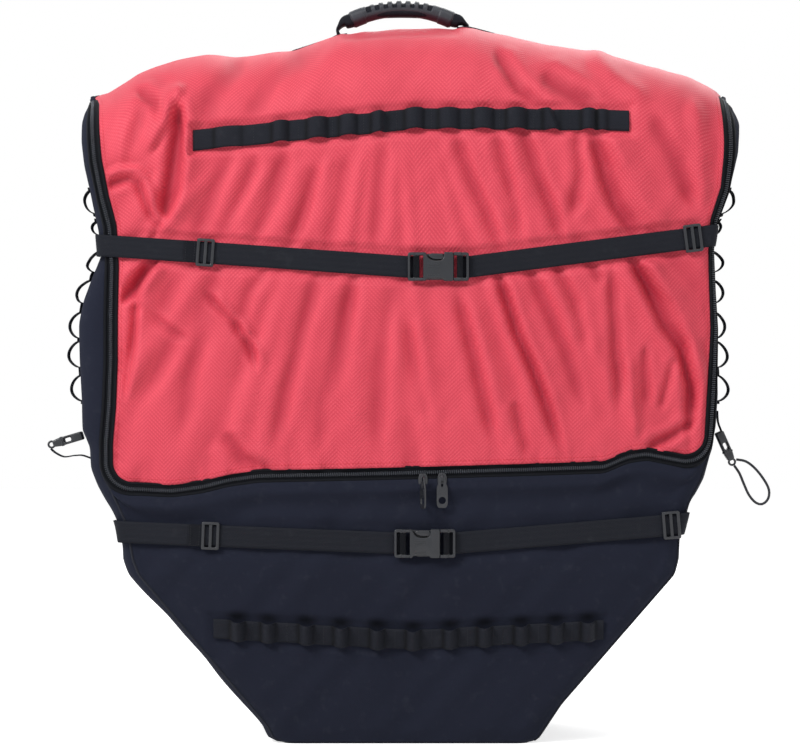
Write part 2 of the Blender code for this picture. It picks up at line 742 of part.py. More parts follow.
def front_frame(x, height, slope=0.0):
    """Placement on the front cloth: its own X along it at a slope, Z up it and Y into the bag."""
    reach = GLIDE.x / 2
    along = front_point(x + reach, height) - front_point(x - reach, height)
    up = front_point(x, height + reach) - front_point(x, height - reach)
    inward = up.cross(along).normalized()
    along = Matrix.Rotation(slope, 3, -inward) @ along.normalized()
    axes = Matrix((along, inward, along.cross(inward))).transposed()
    return Matrix.Translation(front_point(x, height)) @ axes.to_4x4()


def make_buckle(prefix, strap):
    """Socket half, plug half and the plug's two prongs."""
    half = BUCKLE_HEIGHT / 2
    near, far = -BUCKLE_LIFT, -BUCKLE_LIFT - BUCKLE_THICKNESS
    left, right = -BUCKLE_LENGTH / 2, BUCKLE_LENGTH / 2
    body_start = left + BUCKLE_FRAME
    split = BUCKLE_SPLIT
    bar_near = -STRAP_LIFT - SLIP_GAP
    frame_far = bar_near - BUCKLE_FRAME_THICKNESS
    rail = half - WEBBING_WIDTH / 2 - SLIP_GAP
    overlap = BUCKLE_WALL

    def frame_joins(start, end, bar_start):
        rails = [((start, frame_far, sign * half - (rail if sign > 0 else 0)),
                  (end, near, sign * half + (0 if sign > 0 else rail))) for sign in (-1, 1)]
        middle = (start + end) / 2
        bars = [((bar_start, frame_far, -half), (bar_start + BUCKLE_BAR, bar_near, half)),
                ((middle - BUCKLE_BAR / 2, frame_far, -half),
                 (middle + BUCKLE_BAR / 2, bar_near, half))]
        return rails + bars

    window = ((SOCKET_WINDOW[0], far + BUCKLE_WALL, -half - overlap),
              (SOCKET_WINDOW[1], near - BUCKLE_WALL, half + overlap))
    cavity = ((body_start + BUCKLE_WALL, far + BUCKLE_WALL, -half + BUCKLE_WALL),
              (split + overlap, near - BUCKLE_WALL, half - BUCKLE_WALL))
    socket = box_part(f"{prefix}_buckle_socket", ((body_start, far, -half), (split, near, half)),
                      PLASTIC, joins=frame_joins(left, body_start + overlap / 2, left),
                      cuts=(cavity, window))
    plug_start = split + SEAM_GAP
    collar = plug_start + BUCKLE_BAR
    tongue = ((split - PRONG_LENGTH, far + 2 * BUCKLE_WALL, -TONGUE_HALF),
              (collar, near - 2 * BUCKLE_WALL, TONGUE_HALF))
    plug = box_part(f"{prefix}_buckle_plug", ((plug_start, far, -half), (collar, near, half)),
                    PLASTIC,
                    joins=[tongue] + frame_joins(collar - overlap / 2, right, right - BUCKLE_BAR))
    prongs = []
    for sign, word in ((1, "upper"), (-1, "lower")):
        low, high = sorted((sign * PRONG_INNER, sign * PRONG_OUTER))
        corners = ((split - PRONG_LENGTH, far + 2 * BUCKLE_WALL, low),
                   (plug_start - PRONG_ROOT_GAP, near - 2 * BUCKLE_WALL, high))
        prongs.append(box_part(f"{prefix}_buckle_prong_{word}", corners, PLASTIC))
    for piece in [socket, plug] + prongs:
        piece.matrix_world = front_frame(strap["buckle_x"], strap["buckle_z"])


def make_glide(name, strap, x):
    """A strap adjuster: two rails past the webbing's edges, bars in front and one behind."""
    half_x, half_z = GLIDE.x / 2, GLIDE.z / 2
    near, far = -GLIDE_LIFT, -GLIDE_LIFT - GLIDE.y
    front_near = -STRAP_LIFT - SLIP_GAP
    back_far = -STRAP_LIFT + WEBBING + SLIP_GAP
    rail_z = half_z - GLIDE_RAIL
    lower = ((-half_x, far, -half_z), (half_x, near, -rail_z))
    joins = [((-half_x, far, rail_z), (half_x, near, half_z)),
             ((-half_x, far, -half_z), (-half_x + GLIDE_BAR, front_near, half_z)),
             ((half_x - GLIDE_BAR, far, -half_z), (half_x, front_near, half_z)),
             ((-GLIDE_BAR / 2, back_far, -half_z), (GLIDE_BAR / 2, near, half_z))]
    piece = box_part(name, lower, PLASTIC, joins=joins)
    piece.matrix_world = front_frame(x, strap_height(strap, x), strap_slope(strap, x))


def make_straps():
    """Both compression straps with their buckles and adjusters."""
    for prefix, strap in (("upper", UPPER_STRAP), ("lower", LOWER_STRAP)):
        make_strap(f"{prefix}_strap_left", strap, -1)
        make_strap(f"{prefix}_strap_right", strap, 1)
        make_buckle(prefix, strap)
    for prefix, strap, shares in (("upper", UPPER_STRAP, upper_glide_across_shares),
                                  ("lower", LOWER_STRAP, lower_glide_across_shares)):
        for side, share in zip(("left", "right"), shares):
            make_glide(f"{prefix}_glide_{side}", strap, share * HALF_WIDTH)


def make_zip_pulls():
    """Two sliders on the bag's tape and the tab that hangs on each."""
    drop = ZIP_TAPE + 2 * SEAM_GAP + ZIP_SLIDER.z / 2
    for side, x in (("left", LEFT_SLIDER_X), ("right", RIGHT_SLIDER_X)):
        z = hem_height(x) - drop
        y = front_point(x, z).y
        far = -ZIP_SLIDER_LIFT - ZIP_SLIDER.y
        corners = ((-ZIP_SLIDER.x / 2, far, -ZIP_SLIDER.z / 2),
                   (ZIP_SLIDER.x / 2, -ZIP_SLIDER_LIFT, ZIP_SLIDER.z / 2))
        slider = box_part(f"zip_slider_{side}", corners, BLACK, rounding=ZIP_SLIDER_ROUNDING)
        slider.location = (x, y, z)
        turn = LEFT_TAB_TURN if side == "left" else 0.0
        spread = abs(PULL_TAB.x * math.sin(turn)) + abs(PULL_TAB.y * math.cos(turn))
        tab_near = far - 2 * REST_GAP
        top = ZIP_SLIDER.z / 4
        tab = box_part(f"pull_tab_{side}",
                       ((-PULL_TAB.x / 2, -PULL_TAB.y / 2, -PULL_TAB.z),
                        (PULL_TAB.x / 2, PULL_TAB.y / 2, 0.0)), BLACK)
        hole = bpy.data.meshes.new(f"pull_tab_{side}_hole")
        cutter = bmesh.new()
        bmesh.ops.create_cone(cutter, cap_ends=True, segments=16, radius1=PULL_TAB_HOLE_RADIUS,
                              radius2=PULL_TAB_HOLE_RADIUS, depth=2 * PULL_TAB.y)
        bmesh.ops.rotate(cutter, matrix=Matrix.Rotation(math.pi / 2, 3, "X"), verts=cutter.verts)
        bmesh.ops.translate(cutter, vec=(0, 0, -PULL_TAB.z + 2 * PULL_TAB_HOLE_RADIUS),
                            verts=cutter.verts)
        cutter.to_mesh(hole)
        cutter.free()
        boolean(tab, hole, "DIFFERENCE")
        tab.location = (x, y + tab_near - spread / 2, z + top)
        tab.rotation_euler.z = turn


def row_place(row, across_shares, height_shares):
    """A loop row: webbing that stands off the cloth in each loop and lies flat between them."""
    rest = ELASTIC + REST_GAP
    across = [share * HALF_WIDTH for share in across_shares]
    heights = [share * CROWN_HEIGHT for share in height_shares]

    def place(u, v):
        x = across[0] + u * (across[-1] - across[0])
        height = float(np.interp(x, across, heights)) + (v - 0.5) * row["width"]
        phase = (u * row["loops"]) % 1.0
        inside = (phase - 0.5) / row["loop_share"]
        stand = row["rise"] * math.sqrt(max(0.0, 1 - (2 * inside) ** 2))
        return shell_point(x, level_at(x, height), rest + stand)

    return place


def make_loops():
    """Elastic rows on the front and webbing loops down the sides."""
    upper = row_place(UPPER_ROW, upper_loops_across_shares, upper_loops_height_shares)
    lower = row_place(LOWER_ROW, lower_loops_across_shares, lower_loops_height_shares)
    grid_patch("elastic_row_upper", upper, LOOP_STEPS * UPPER_ROW["loops"], 2, ELASTIC, BLACK)
    grid_patch("elastic_row_lower", lower, LOOP_STEPS * LOWER_ROW["loops"], 2, ELASTIC, BLACK)
    for side, name in ((-1, "side_loops_left"), (1, "side_loops_right")):
        def place(u, v, side=side):
            z = (side_loop_bottom_share + v * SIDE_LOOPS * side_loop_pitch_share) * CROWN_HEIGHT
            stand = SIDE_LOOP_RISE * abs(math.sin(math.pi * v * SIDE_LOOPS)) ** SIDE_LOOP_FULLNESS
            x = half_width(z) + REST_GAP + WEBBING + stand
            return Vector((side * x, SIDE_LOOP_Y + (u - 0.5) * SIDE_LOOP_WIDTH, z))

        grid_patch(name, place, 1, LOOP_STEPS * SIDE_LOOPS, WEBBING, BLACK, flip=side < 0)


def crown_height(x, y):
    """Height of the crown's skin."""
    rise = CROWN_RISE * math.sqrt(1 - (y / HALF_DEPTH) ** 2)
    return ridge_height(x) - CROWN_RISE + rise


def grip_height(x):
    """Height of the grip's middle line."""
    return GRIP_END_HEIGHT + GRIP_ARCH * (1 - (x / GRIP_HALF_LENGTH) ** 2)


def make_handle():
    """Moulded grip on a webbing loop, and the webbing strips sewn to the crown."""
    curve = bpy.data.curves.new("handle_grip", "CURVE")
    curve.dimensions = "3D"
    curve.bevel_depth = GRIP_HALF_THICKNESS
    curve.bevel_resolution = 3
    curve.use_fill_caps = True
    spline = curve.splines.new("POLY")
    steps = 10
    spline.points.add(steps)
    for index, point in enumerate(spline.points):
        x = (2 * index / steps - 1) * GRIP_HALF_LENGTH
        point.co = (x, 0.0, grip_height(x), 1.0)
    tube = bpy.data.objects.new("grip_tube", curve)
    CUTTERS.objects.link(tube)
    bpy.context.view_layer.update()
    evaluated = tube.evaluated_get(bpy.context.evaluated_depsgraph_get())
    mesh = bpy.data.meshes.new_from_object(evaluated)
    bpy.data.objects.remove(tube, do_unlink=True)
    solid = bmesh.new()
    solid.from_mesh(mesh)
    bmesh.ops.remove_doubles(solid, verts=solid.verts, dist=WALL / 1000)
    bmesh.ops.scale(solid, vec=(1.0, GRIP_WIDTH_RATIO, 1.0), verts=solid.verts)
    bmesh.ops.recalc_face_normals(solid, faces=solid.faces)
    bmesh.ops.translate(solid, vec=(0, 0, -GRIP_END_HEIGHT), verts=solid.verts)
    solid.to_mesh(mesh)
    solid.free()
    grip = bpy.data.objects.new("handle_grip", mesh)
    PARTS.objects.link(grip)
    grip.location = (0.0, HANDLE_Y, GRIP_END_HEIGHT)
    finish_object(grip, PLASTIC, 0.45)

    foot = crown_height(HANDLE_FOOT_X, HANDLE_Y + WEBBING_WIDTH / 2) + WEBBING + 2 * REST_GAP + WEBBING / 2

    def webbing_height(x):
        if abs(x) <= GRIP_HALF_LENGTH:
            return grip_height(x)
        share = (abs(x) - GRIP_HALF_LENGTH) / (HANDLE_FOOT_X - GRIP_HALF_LENGTH)
        return GRIP_END_HEIGHT + share * (foot - GRIP_END_HEIGHT)

    def webbing_place(half_span, spread):
        def place(u, v):
            x = (2 * u - 1) * half_span
            y = HANDLE_Y + (v - 0.5) * (WEBBING_WIDTH + 2 * spread)
            return Vector((x, y, webbing_height(x) + WEBBING / 2 + spread))

        return place

    grid_patch("handle_webbing", webbing_place(HANDLE_FOOT_X, 0.0), 20, 1, WEBBING, BLACK)
    slot = grid_patch("handle_slot", webbing_place(HANDLE_FOOT_X, GRIP_SLOT_CLEARANCE), 20, 1,
                      WEBBING + 2 * GRIP_SLOT_CLEARANCE, BLACK, cutter=True)
    cut = grip.modifiers.new("slot", "BOOLEAN")
    cut.operation = "DIFFERENCE"
    cut.object = slot
    cut.solver = "EXACT"

    for side, name in ((-1, "handle_strip_left"), (1, "handle_strip_right")):
        def place(u, v, side=side):
            inner = HANDLE_FOOT_X - WEBBING_WIDTH / 2
            x = side * (inner + u * (HANDLE_STRIP_REACH - inner))
            y = HANDLE_Y + (v - 0.5) * WEBBING_WIDTH
            return Vector((x, y, crown_height(x, y) + REST_GAP + WEBBING))

        grid_patch(name, place, 6, 4, WEBBING, BLACK, flip=side < 0)


def ribbon(name, points, centre_y, width, flip=False):
    """Webbing along a line of (x, z) points, its width running front to back."""
    count = len(points) - 1

    def place(u, v):
        x, z = points[round(u * count)]
        return Vector((x, centre_y + (v - 0.5) * width, z))

    return grid_patch(name, place, count, 1, WEBBING, BLACK, flip=flip)


def make_side_buckles():
    """The small buckle on each side, its webbing, and the thin loop on the right one."""
    half = SIDE_BUCKLE / 2
    left_z = left_buckle_height_share * CROWN_HEIGHT
    right_z = right_buckle_height_share * CROWN_HEIGHT
    left_x = -half_width(left_z) - LEFT_BUCKLE_OUT
    right_x = half_width(right_z) + RIGHT_BUCKLE_OUT
    for name, centre, turn, ring_side in (
            ("side_buckle_left", (left_x, left_z), LEFT_BUCKLE_TURN, -1),
            ("side_buckle_right", (right_x, right_z), RIGHT_BUCKLE_TURN, 1)):
        body = box_part(name, (-half, half), PLASTIC, rounding=SIDE_BUCKLE_ROUNDING)
        ring = bpy.data.meshes.new(f"{name}_ring")
        loop = bmesh.new()
        bmesh.ops.create_cone(loop, cap_ends=True, segments=12, radius1=SIDE_RING_RADIUS,
                              radius2=SIDE_RING_RADIUS, depth=2 * SIDE_RING_WIRE)
        bmesh.ops.rotate(loop, matrix=Matrix.Rotation(math.pi / 2, 3, "X"), verts=loop.verts)
        ring_x = ring_side * (half.x + SIDE_RING_RADIUS / 2)
        bmesh.ops.translate(loop, vec=(ring_x, 0, 0), verts=loop.verts)
        loop.to_mesh(ring)
        loop.free()
        boolean(body, ring, "UNION")
        body.location = (centre[0], SIDE_BUCKLE_Y, centre[1])
        body.rotation_euler.y = turn

    out, knee, foot = LEFT_WEBBING_FOOT
    skin = -half_width(left_z + foot) - REST_GAP
    route = [(left_x + across, left_z + up) for across, up in LEFT_WEBBING_ROUTE]
    ribbon("side_webbing_left", route + [(skin - out, left_z + knee), (skin, left_z + foot)],
           SIDE_BUCKLE_Y, SIDE_WEBBING_WIDTH)
    skin = half_width(right_z + RIGHT_WEBBING_ROUTE[0][1]) + REST_GAP + WEBBING
    ribbon("side_webbing_right", [(skin + out, right_z + up) for out, up in RIGHT_WEBBING_ROUTE],
           SIDE_BUCKLE_Y, SIDE_WEBBING_WIDTH)

    curve = bpy.data.curves.new("tail_loop_right", "CURVE")
    curve.dimensions = "3D"
    curve.bevel_depth = TAIL_DIAMETER / 2
    curve.bevel_resolution = 2
    curve.use_fill_caps = True
    spline = curve.splines.new("POLY")
    spline.points.add(len(TAIL_ROUTE) - 1)
    for point, (across, up) in zip(spline.points, TAIL_ROUTE):
        point.co = (right_x + across, SIDE_BUCKLE_Y, right_z + up, 1.0)
    tail = bpy.data.objects.new("tail_loop_right", curve)
    PARTS.objects.link(tail)
    finish_object(tail, BLACK)


make_shell()
make_lining()
make_straps()
make_zip_pulls()
make_loops()
make_handle()
make_side_buckles()
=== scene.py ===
# %% [markdown]
# # A soft travel bag for a bicycle
# The bag is cloth over foam: a red front that hangs from the crown, a dark blue body, a long zip in
# a U, two webbing straps and rows of loops. This lesson dresses the plain CAD solids with cloth,
# webbing and moulded plastic. Everything is in metres, with +Z up and the front facing -Y.

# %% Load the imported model
import json
import math

import bmesh
import bpy
import numpy as np
from mathutils import Matrix, Vector


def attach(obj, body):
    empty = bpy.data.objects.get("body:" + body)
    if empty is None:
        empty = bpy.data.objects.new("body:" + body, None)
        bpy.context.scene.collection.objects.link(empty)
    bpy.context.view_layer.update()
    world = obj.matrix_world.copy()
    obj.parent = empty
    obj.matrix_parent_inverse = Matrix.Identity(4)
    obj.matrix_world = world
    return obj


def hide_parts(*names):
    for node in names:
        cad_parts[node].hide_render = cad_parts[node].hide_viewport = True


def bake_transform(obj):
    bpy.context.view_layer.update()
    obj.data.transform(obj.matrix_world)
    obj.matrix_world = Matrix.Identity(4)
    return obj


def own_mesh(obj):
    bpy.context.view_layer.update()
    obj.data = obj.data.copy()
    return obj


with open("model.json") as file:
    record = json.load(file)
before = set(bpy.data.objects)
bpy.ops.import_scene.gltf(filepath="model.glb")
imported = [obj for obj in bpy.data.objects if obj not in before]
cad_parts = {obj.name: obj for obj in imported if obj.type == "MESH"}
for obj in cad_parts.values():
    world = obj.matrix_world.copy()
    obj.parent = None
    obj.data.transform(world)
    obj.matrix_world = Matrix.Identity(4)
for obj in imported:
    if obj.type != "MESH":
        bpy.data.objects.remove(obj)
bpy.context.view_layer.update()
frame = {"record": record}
scene = bpy.context.scene

# %% [markdown]
# The photograph was taken from straight in front, so the camera looks along +Y. One of its pixels
# covers 1.15 mm at the bag's front face. A long lens from 3.34 m keeps the sides from showing.

# %% Camera
PIXEL = 0.00115
PICTURE_MIDDLE = (400.0, 374.0)
FRONT_Y = -0.140
EYE = Vector((-0.0023, -3.34, 0.4278))
camera_data = bpy.data.cameras.new("camera")
camera_data.sensor_width = 36.0
camera_data.lens = 36.0 * (FRONT_Y - EYE.y) / (800 * PIXEL)
camera = bpy.data.objects.new("camera", camera_data)
camera.location = EYE
camera.rotation_euler = (math.pi / 2, 0.0, 0.0)
scene.collection.objects.link(camera)
scene.camera = camera
scene.view_settings.view_transform = "Standard"
print("lens:", round(camera_data.lens, 1), "mm")

# %% [markdown]
# A shader is a small graph. These helpers add one node and feed its sockets, from another node's
# output or from a plain value, so that a whole material reads as a few lines.


# %% Helpers for shader nodes
def add(tree, kind, feeds=None, **settings):
    """Add a shader node, set its options and feed its inputs."""
    node = tree.nodes.new("ShaderNode" + kind)
    for key, value in settings.items():
        setattr(node, key, value)
    for socket, source in (feeds or {}).items():
        if isinstance(source, bpy.types.NodeSocket):
            tree.links.new(source, node.inputs[socket])
        else:
            node.inputs[socket].default_value = source
    return node


def use(tree, group, feeds):
    """Place a node group in a material."""
    return add(tree, "Group", feeds, node_tree=group).outputs


def calc(tree, operation, first, second=0.0, third=None):
    """One step of arithmetic on numbers that vary over the surface."""
    feeds = {0: first, 1: second}
    if third is not None:
        feeds[2] = third
    return add(tree, "Math", feeds, operation=operation).outputs[0]


def new_group(name, inputs, outputs):
    """An empty node group with its named inputs and outputs."""
    tree = bpy.data.node_groups.new(name, "ShaderNodeTree")
    for label, kind, default in inputs:
        socket = tree.interface.new_socket(label, in_out="INPUT", socket_type="NodeSocket" + kind)
        if default is not None:
            socket.default_value = default
    for label, kind in outputs:
        tree.interface.new_socket(label, in_out="OUTPUT", socket_type="NodeSocket" + kind)
    return tree, tree.nodes.new("NodeGroupInput").outputs, tree.nodes.new("NodeGroupOutput").inputs


# %% [markdown]
# The floor and the world look white to the camera, to reflections and through glass, while the
# bag itself is lit at a plain level. The floor is still a diffuse surface under its glow, so the
# bag keeps a soft shadow where it stands.


# %% Floor, world and lamps
def seen_directly(tree):
    """1 for rays from the camera, mirrors and glass, and 0 for light on its way to the bag."""
    path = add(tree, "LightPath").outputs
    some = calc(tree, "MAXIMUM", path["Is Camera Ray"], path["Is Glossy Ray"])
    return calc(tree, "MAXIMUM", some, path["Is Transmission Ray"])


def make_floor():
    mesh = bpy.data.meshes.new("studio_floor")
    flat = bmesh.new()
    bmesh.ops.create_grid(flat, x_segments=2, y_segments=2, size=7.0)
    flat.to_mesh(mesh)
    flat.free()
    floor = bpy.data.objects.new("studio_floor", mesh)
    scene.collection.objects.link(floor)
    material = bpy.data.materials.new("studio_floor")
    material.use_nodes = True
    tree = material.node_tree
    shader = tree.nodes["Principled BSDF"]
    grain = add(tree, "TexNoise", {"Scale": 30.0})
    tint = add(tree, "MapRange", {"Value": grain.outputs["Fac"], "To Min": 0.80, "To Max": 0.84})
    tree.links.new(tint.outputs[0], shader.inputs["Base Color"])
    shader.inputs["Roughness"].default_value = 0.9
    shader.inputs["Specular IOR Level"].default_value = 0.1
    shader.inputs["Emission Color"].default_value = (1.0, 1.0, 1.0, 1.0)
    glow = calc(tree, "MULTIPLY", seen_directly(tree), 0.72)
    tree.links.new(glow, shader.inputs["Emission Strength"])
    mesh.materials.append(material)
    return floor


def make_world():
    world = bpy.data.worlds.new("studio")
    scene.world = world
    world.use_nodes = True
    tree = world.node_tree
    back = tree.nodes["Background"]
    back.inputs["Color"].default_value = (1.0, 1.0, 1.0, 1.0)
    level = add(tree, "MapRange", {"Value": seen_directly(tree), "To Min": 0.30, "To Max": 1.0})
    tree.links.new(level.outputs[0], back.inputs["Strength"])


def lamp(name, place, aim, size, power):
    """A square soft light aimed at a point."""
    data = bpy.data.lights.new(name, "AREA")
    data.size = size
    data.energy = power
    obj = bpy.data.objects.new(name, data)
    obj.location = place
    obj.rotation_euler = (Vector(aim) - Vector(place)).to_track_quat("-Z", "Y").to_euler()
    scene.collection.objects.link(obj)


make_floor()
make_world()
lamp("key_softbox", (-2.3, -2.2, 2.5), (0.0, 0.0, 0.50), 1.2, 88.0)
lamp("top_softbox", (0.2, -1.6, 2.8), (0.0, 0.0, 0.60), 1.5, 15.0)
lamp("fill_softbox", (2.6, -2.6, 0.9), (0.0, 0.0, 0.40), 2.2, 10.0)
lamp("rim_softbox", (0.6, 2.6, 2.4), (0.0, 0.0, 0.50), 2.0, 60.0)

# %% [markdown]
# Two woven effects serve most of the cloth. The red cloth is a dobby: small raised dashes run along
# one diagonal and then the other, in fields like a herringbone. The blue cloth is a plain weave,
# threads over and under. Both read the cloth's own UV map, which is in metres, so the pattern
# follows every fold at its real size.


# %% Node groups for woven cloth
def wave(tree, value, pitch, shift=0.0):
    """A smooth wave from 0 to 1 that repeats at a pitch."""
    turns = calc(tree, "MULTIPLY_ADD", calc(tree, "DIVIDE", value, pitch), 2 * math.pi, shift)
    return calc(tree, "MULTIPLY_ADD", calc(tree, "SINE", turns), 0.5, 0.5)


def dobby_group():
    tree, given, made = new_group(
        "dobby_weave",
        (("Cloth", "Vector", None), ("Pitch", "Float", 0.0046), ("Field", "Float", 0.036)),
        (("Height", "Float"), ("Dash", "Float")))
    parts = add(tree, "SeparateXYZ", {0: given["Cloth"]}).outputs
    wander = add(tree, "TexNoise", {"Vector": given["Cloth"], "Scale": 14.0}).outputs["Fac"]
    across = calc(tree, "MULTIPLY_ADD", wander, 0.006, parts["X"])
    field = calc(tree, "GREATER_THAN", wave(tree, across, given["Field"]), 0.5)
    turn = calc(tree, "MULTIPLY_ADD", field, 2.0, -1.0)
    slanted = calc(tree, "MULTIPLY", parts["Y"], turn)
    rows = wave(tree, calc(tree, "ADD", across, slanted), given["Pitch"])
    dashes = wave(tree, calc(tree, "SUBTRACT", across, slanted), given["Pitch"])
    dash = calc(tree, "MULTIPLY", rows, calc(tree, "MULTIPLY_ADD", dashes, 0.65, 0.35))
    tree.links.new(dash, made["Dash"])
    threads = wave(tree, parts["X"], 0.0006)
    height = calc(tree, "MULTIPLY_ADD", threads, 0.12, dash)
    tree.links.new(height, made["Height"])
    return tree


def plain_group():
    tree, given, made = new_group(
        "plain_weave", (("Cloth", "Vector", None), ("Pitch", "Float", 0.0012)),
        (("Height", "Float"), ("Thread", "Float")))
    parts = add(tree, "SeparateXYZ", {0: given["Cloth"]}).outputs
    warp = wave(tree, parts["X"], given["Pitch"])
    weft = wave(tree, parts["Y"], given["Pitch"])
    over = wave(tree, calc(tree, "ADD", parts["X"], parts["Y"]), given["Pitch"], 0.8)
    height = calc(tree, "MULTIPLY_ADD", over, 0.5, calc(tree, "MAXIMUM", warp, weft))
    tree.links.new(height, made["Height"])
    tree.links.new(calc(tree, "MULTIPLY", warp, weft), made["Thread"])
    return tree


DOBBY = dobby_group()
PLAIN = plain_group()
print("groups:", DOBBY.name, PLAIN.name)

# %% [markdown]
# Webbing is woven across its length in fine chevrons with a thicker edge. Moulded plastic has a
# fine grain and pales along its edges with wear. Uneven tone from dye, dust and handling goes on
# all of them.


# %% Node groups for webbing, moulded grain, tone and wear
def webbing_group():
    tree, given, made = new_group(
        "webbing_weave", (("Cloth", "Vector", None), ("Pitch", "Float", 0.0017)),
        (("Height", "Float"), ("Thread", "Float")))
    parts = add(tree, "SeparateXYZ", {0: given["Cloth"]}).outputs
    zigzag = add(tree, "Math", {0: parts["Y"], 1: 0.0032}, operation="PINGPONG").outputs[0]
    slanted = calc(tree, "MULTIPLY_ADD", zigzag, 0.8, parts["X"])
    picks = wave(tree, slanted, given["Pitch"])
    cords = wave(tree, parts["Y"], 0.0016)
    height = calc(tree, "MULTIPLY_ADD", cords, 0.4, picks)
    tree.links.new(height, made["Height"])
    tree.links.new(calc(tree, "MULTIPLY", picks, cords), made["Thread"])
    return tree


def grain_group():
    tree, given, made = new_group(
        "moulded_grain", (("Place", "Vector", None), ("Size", "Float", 900.0)),
        (("Height", "Float"),))
    cells = add(tree, "TexVoronoi", {"Vector": given["Place"], "Scale": given["Size"]})
    noise = add(tree, "TexNoise", {"Vector": given["Place"], "Scale": 320.0})
    height = calc(tree, "MULTIPLY_ADD", noise.outputs["Fac"], 0.5, cells.outputs["Distance"])
    tree.links.new(height, made["Height"])
    return tree


def tone_group():
    tree, given, made = new_group(
        "uneven_tone", (("Place", "Vector", None), ("Size", "Float", 7.0)),
        (("Tone", "Float"), ("Dust", "Float")))
    broad = add(tree, "TexNoise", {"Vector": given["Place"], "Scale": given["Size"], "Detail": 3.0})
    fine = add(tree, "TexNoise", {"Vector": given["Place"], "Scale": 260.0, "Detail": 2.0})
    tone = calc(tree, "MULTIPLY_ADD", fine.outputs["Fac"], 0.3, broad.outputs["Fac"])
    tree.links.new(calc(tree, "SUBTRACT", tone, 0.15), made["Tone"])
    speck = add(tree, "TexNoise", {"Vector": given["Place"], "Scale": 90.0, "Detail": 6.0})
    dust = add(tree, "MapRange",
               {"Value": speck.outputs["Fac"], "From Min": 0.58, "From Max": 0.80})
    tree.links.new(dust.outputs[0], made["Dust"])
    return tree


def wear_group():
    tree, given, made = new_group(
        "edge_wear", (("Place", "Vector", None), ("Start", "Float", 0.53)), (("Wear", "Float"),))
    edges = add(tree, "NewGeometry").outputs["Pointiness"]
    rubbed = add(tree, "MapRange", {"Value": edges, "From Min": given["Start"], "From Max": 0.62})
    patchy = add(tree, "TexNoise", {"Vector": given["Place"], "Scale": 140.0, "Detail": 4.0})
    wear = calc(tree, "MULTIPLY", rubbed.outputs[0], patchy.outputs["Fac"])
    tree.links.new(wear, made["Wear"])
    return tree


WEBBING, GRAIN, TONE, WEAR = webbing_group(), grain_group(), tone_group(), wear_group()
print("groups:", [tree.name for tree in bpy.data.node_groups])

# %% [markdown]
# A finish starts from two colours, darker and paler, that the tone mixes. A weave or grain then
# adds its own light and dark and its bump. Roughness, sheen and shine sit on the shader itself.


# %% Helpers for a finish
def mixed(tree, share, first, second):
    """A colour between two others, by a share that varies over the surface."""
    first, second = (source if isinstance(source, bpy.types.NodeSocket) else (*source, 1.0)
                     for source in (first, second))
    return add(tree, "Mix", {0: share, 6: first, 7: second}, data_type="RGBA").outputs[2]


def bumped(tree, shader, height, distance, strength=1.0):
    """Feed a height through a bump node into the shader's normal."""
    bump = add(tree, "Bump", {"Height": height, "Distance": distance, "Strength": strength})
    tree.links.new(bump.outputs[0], shader.inputs["Normal"])


def with_painted_shade(tree, shader, colour, shade_colour):
    """Feed the shader a colour with painted shade, darker where the piece's stored shade says."""
    painted_shade = add(tree, "Attribute", attribute_name="painted_shade").outputs["Fac"]
    tree.links.new(mixed(tree, painted_shade, colour, shade_colour), shader.inputs["Base Color"])


def start_finish(name, **constants):
    """A new material with constants set on its shader, and its coordinates."""
    material = bpy.data.materials.new(name)
    material.use_nodes = True
    tree = material.node_tree
    shader = tree.nodes["Principled BSDF"]
    for socket, value in constants.items():
        shader.inputs[socket.replace("_", " ")].default_value = value
    return material, tree, shader, add(tree, "TexCoord").outputs


# %% [markdown]
# The red cloth is a coated dobby: coral where it catches light, crimson in the deep folds, where
# red light bounces from wall to wall. The folds are modelled, and each point of the cloth also
# keeps how deep it lies, in an attribute that paints shade into the colour there: a darker
# crimson in the fold valleys.


# %% Red dobby cloth
def red_finish():
    material, tree, shader, place = start_finish(
        "red_dobby_cloth", Roughness=0.62, Specular_IOR_Level=0.35, Sheen_Weight=0.22,
        Sheen_Roughness=0.4, Sheen_Tint=(1.0, 0.72, 0.72, 1.0))
    weave = use(tree, DOBBY, {"Cloth": place["UV"]})
    tone = use(tree, TONE, {"Place": place["Object"], "Size": 9.0})
    body = mixed(tree, tone["Tone"], (0.60, 0.036, 0.070), (0.78, 0.064, 0.104))
    # Painted highlight: the weave's raised dashes are paler, as if they catch the light.
    dash_highlight = mixed(tree, weave["Dash"], body, (0.92, 0.138, 0.178))
    paler = mixed(tree, 0.55, body, dash_highlight)
    # Painted shade: a deep crimson in the fold valleys.
    with_painted_shade(tree, shader, paler, (0.33, 0.004, 0.026))
    bumped(tree, shader, weave["Height"], 0.00035, 0.8)
    return material


# %% [markdown]
# The body is a heavy navy plain weave that drinks light, with a little lint. Binding tape and the
# zip's tape are finer and closer to black.


# %% Navy cloth, binding and zip tape
def navy_finish():
    material, tree, shader, place = start_finish(
        "navy_body_cloth", Roughness=0.88, Specular_IOR_Level=0.14, Sheen_Weight=0.010,
        Sheen_Roughness=0.5)
    weave = use(tree, PLAIN, {"Cloth": place["UV"]})
    tone = use(tree, TONE, {"Place": place["Object"], "Size": 5.0})
    body = mixed(tree, tone["Tone"], (0.0090, 0.0105, 0.0196), (0.0164, 0.0192, 0.0355))
    thread = mixed(tree, weave["Thread"], body, (0.019, 0.023, 0.040))
    lint = calc(tree, "MULTIPLY", tone["Dust"], 0.07)
    dusty = mixed(tree, lint, thread, (0.13, 0.14, 0.17))
    # Painted shade: a near-black navy where the cloth's stored shade asks for it, above the lower
    # loops.
    with_painted_shade(tree, shader, dusty, (0.0016, 0.0020, 0.0034))
    bumped(tree, shader, weave["Height"], 0.00016)
    return material


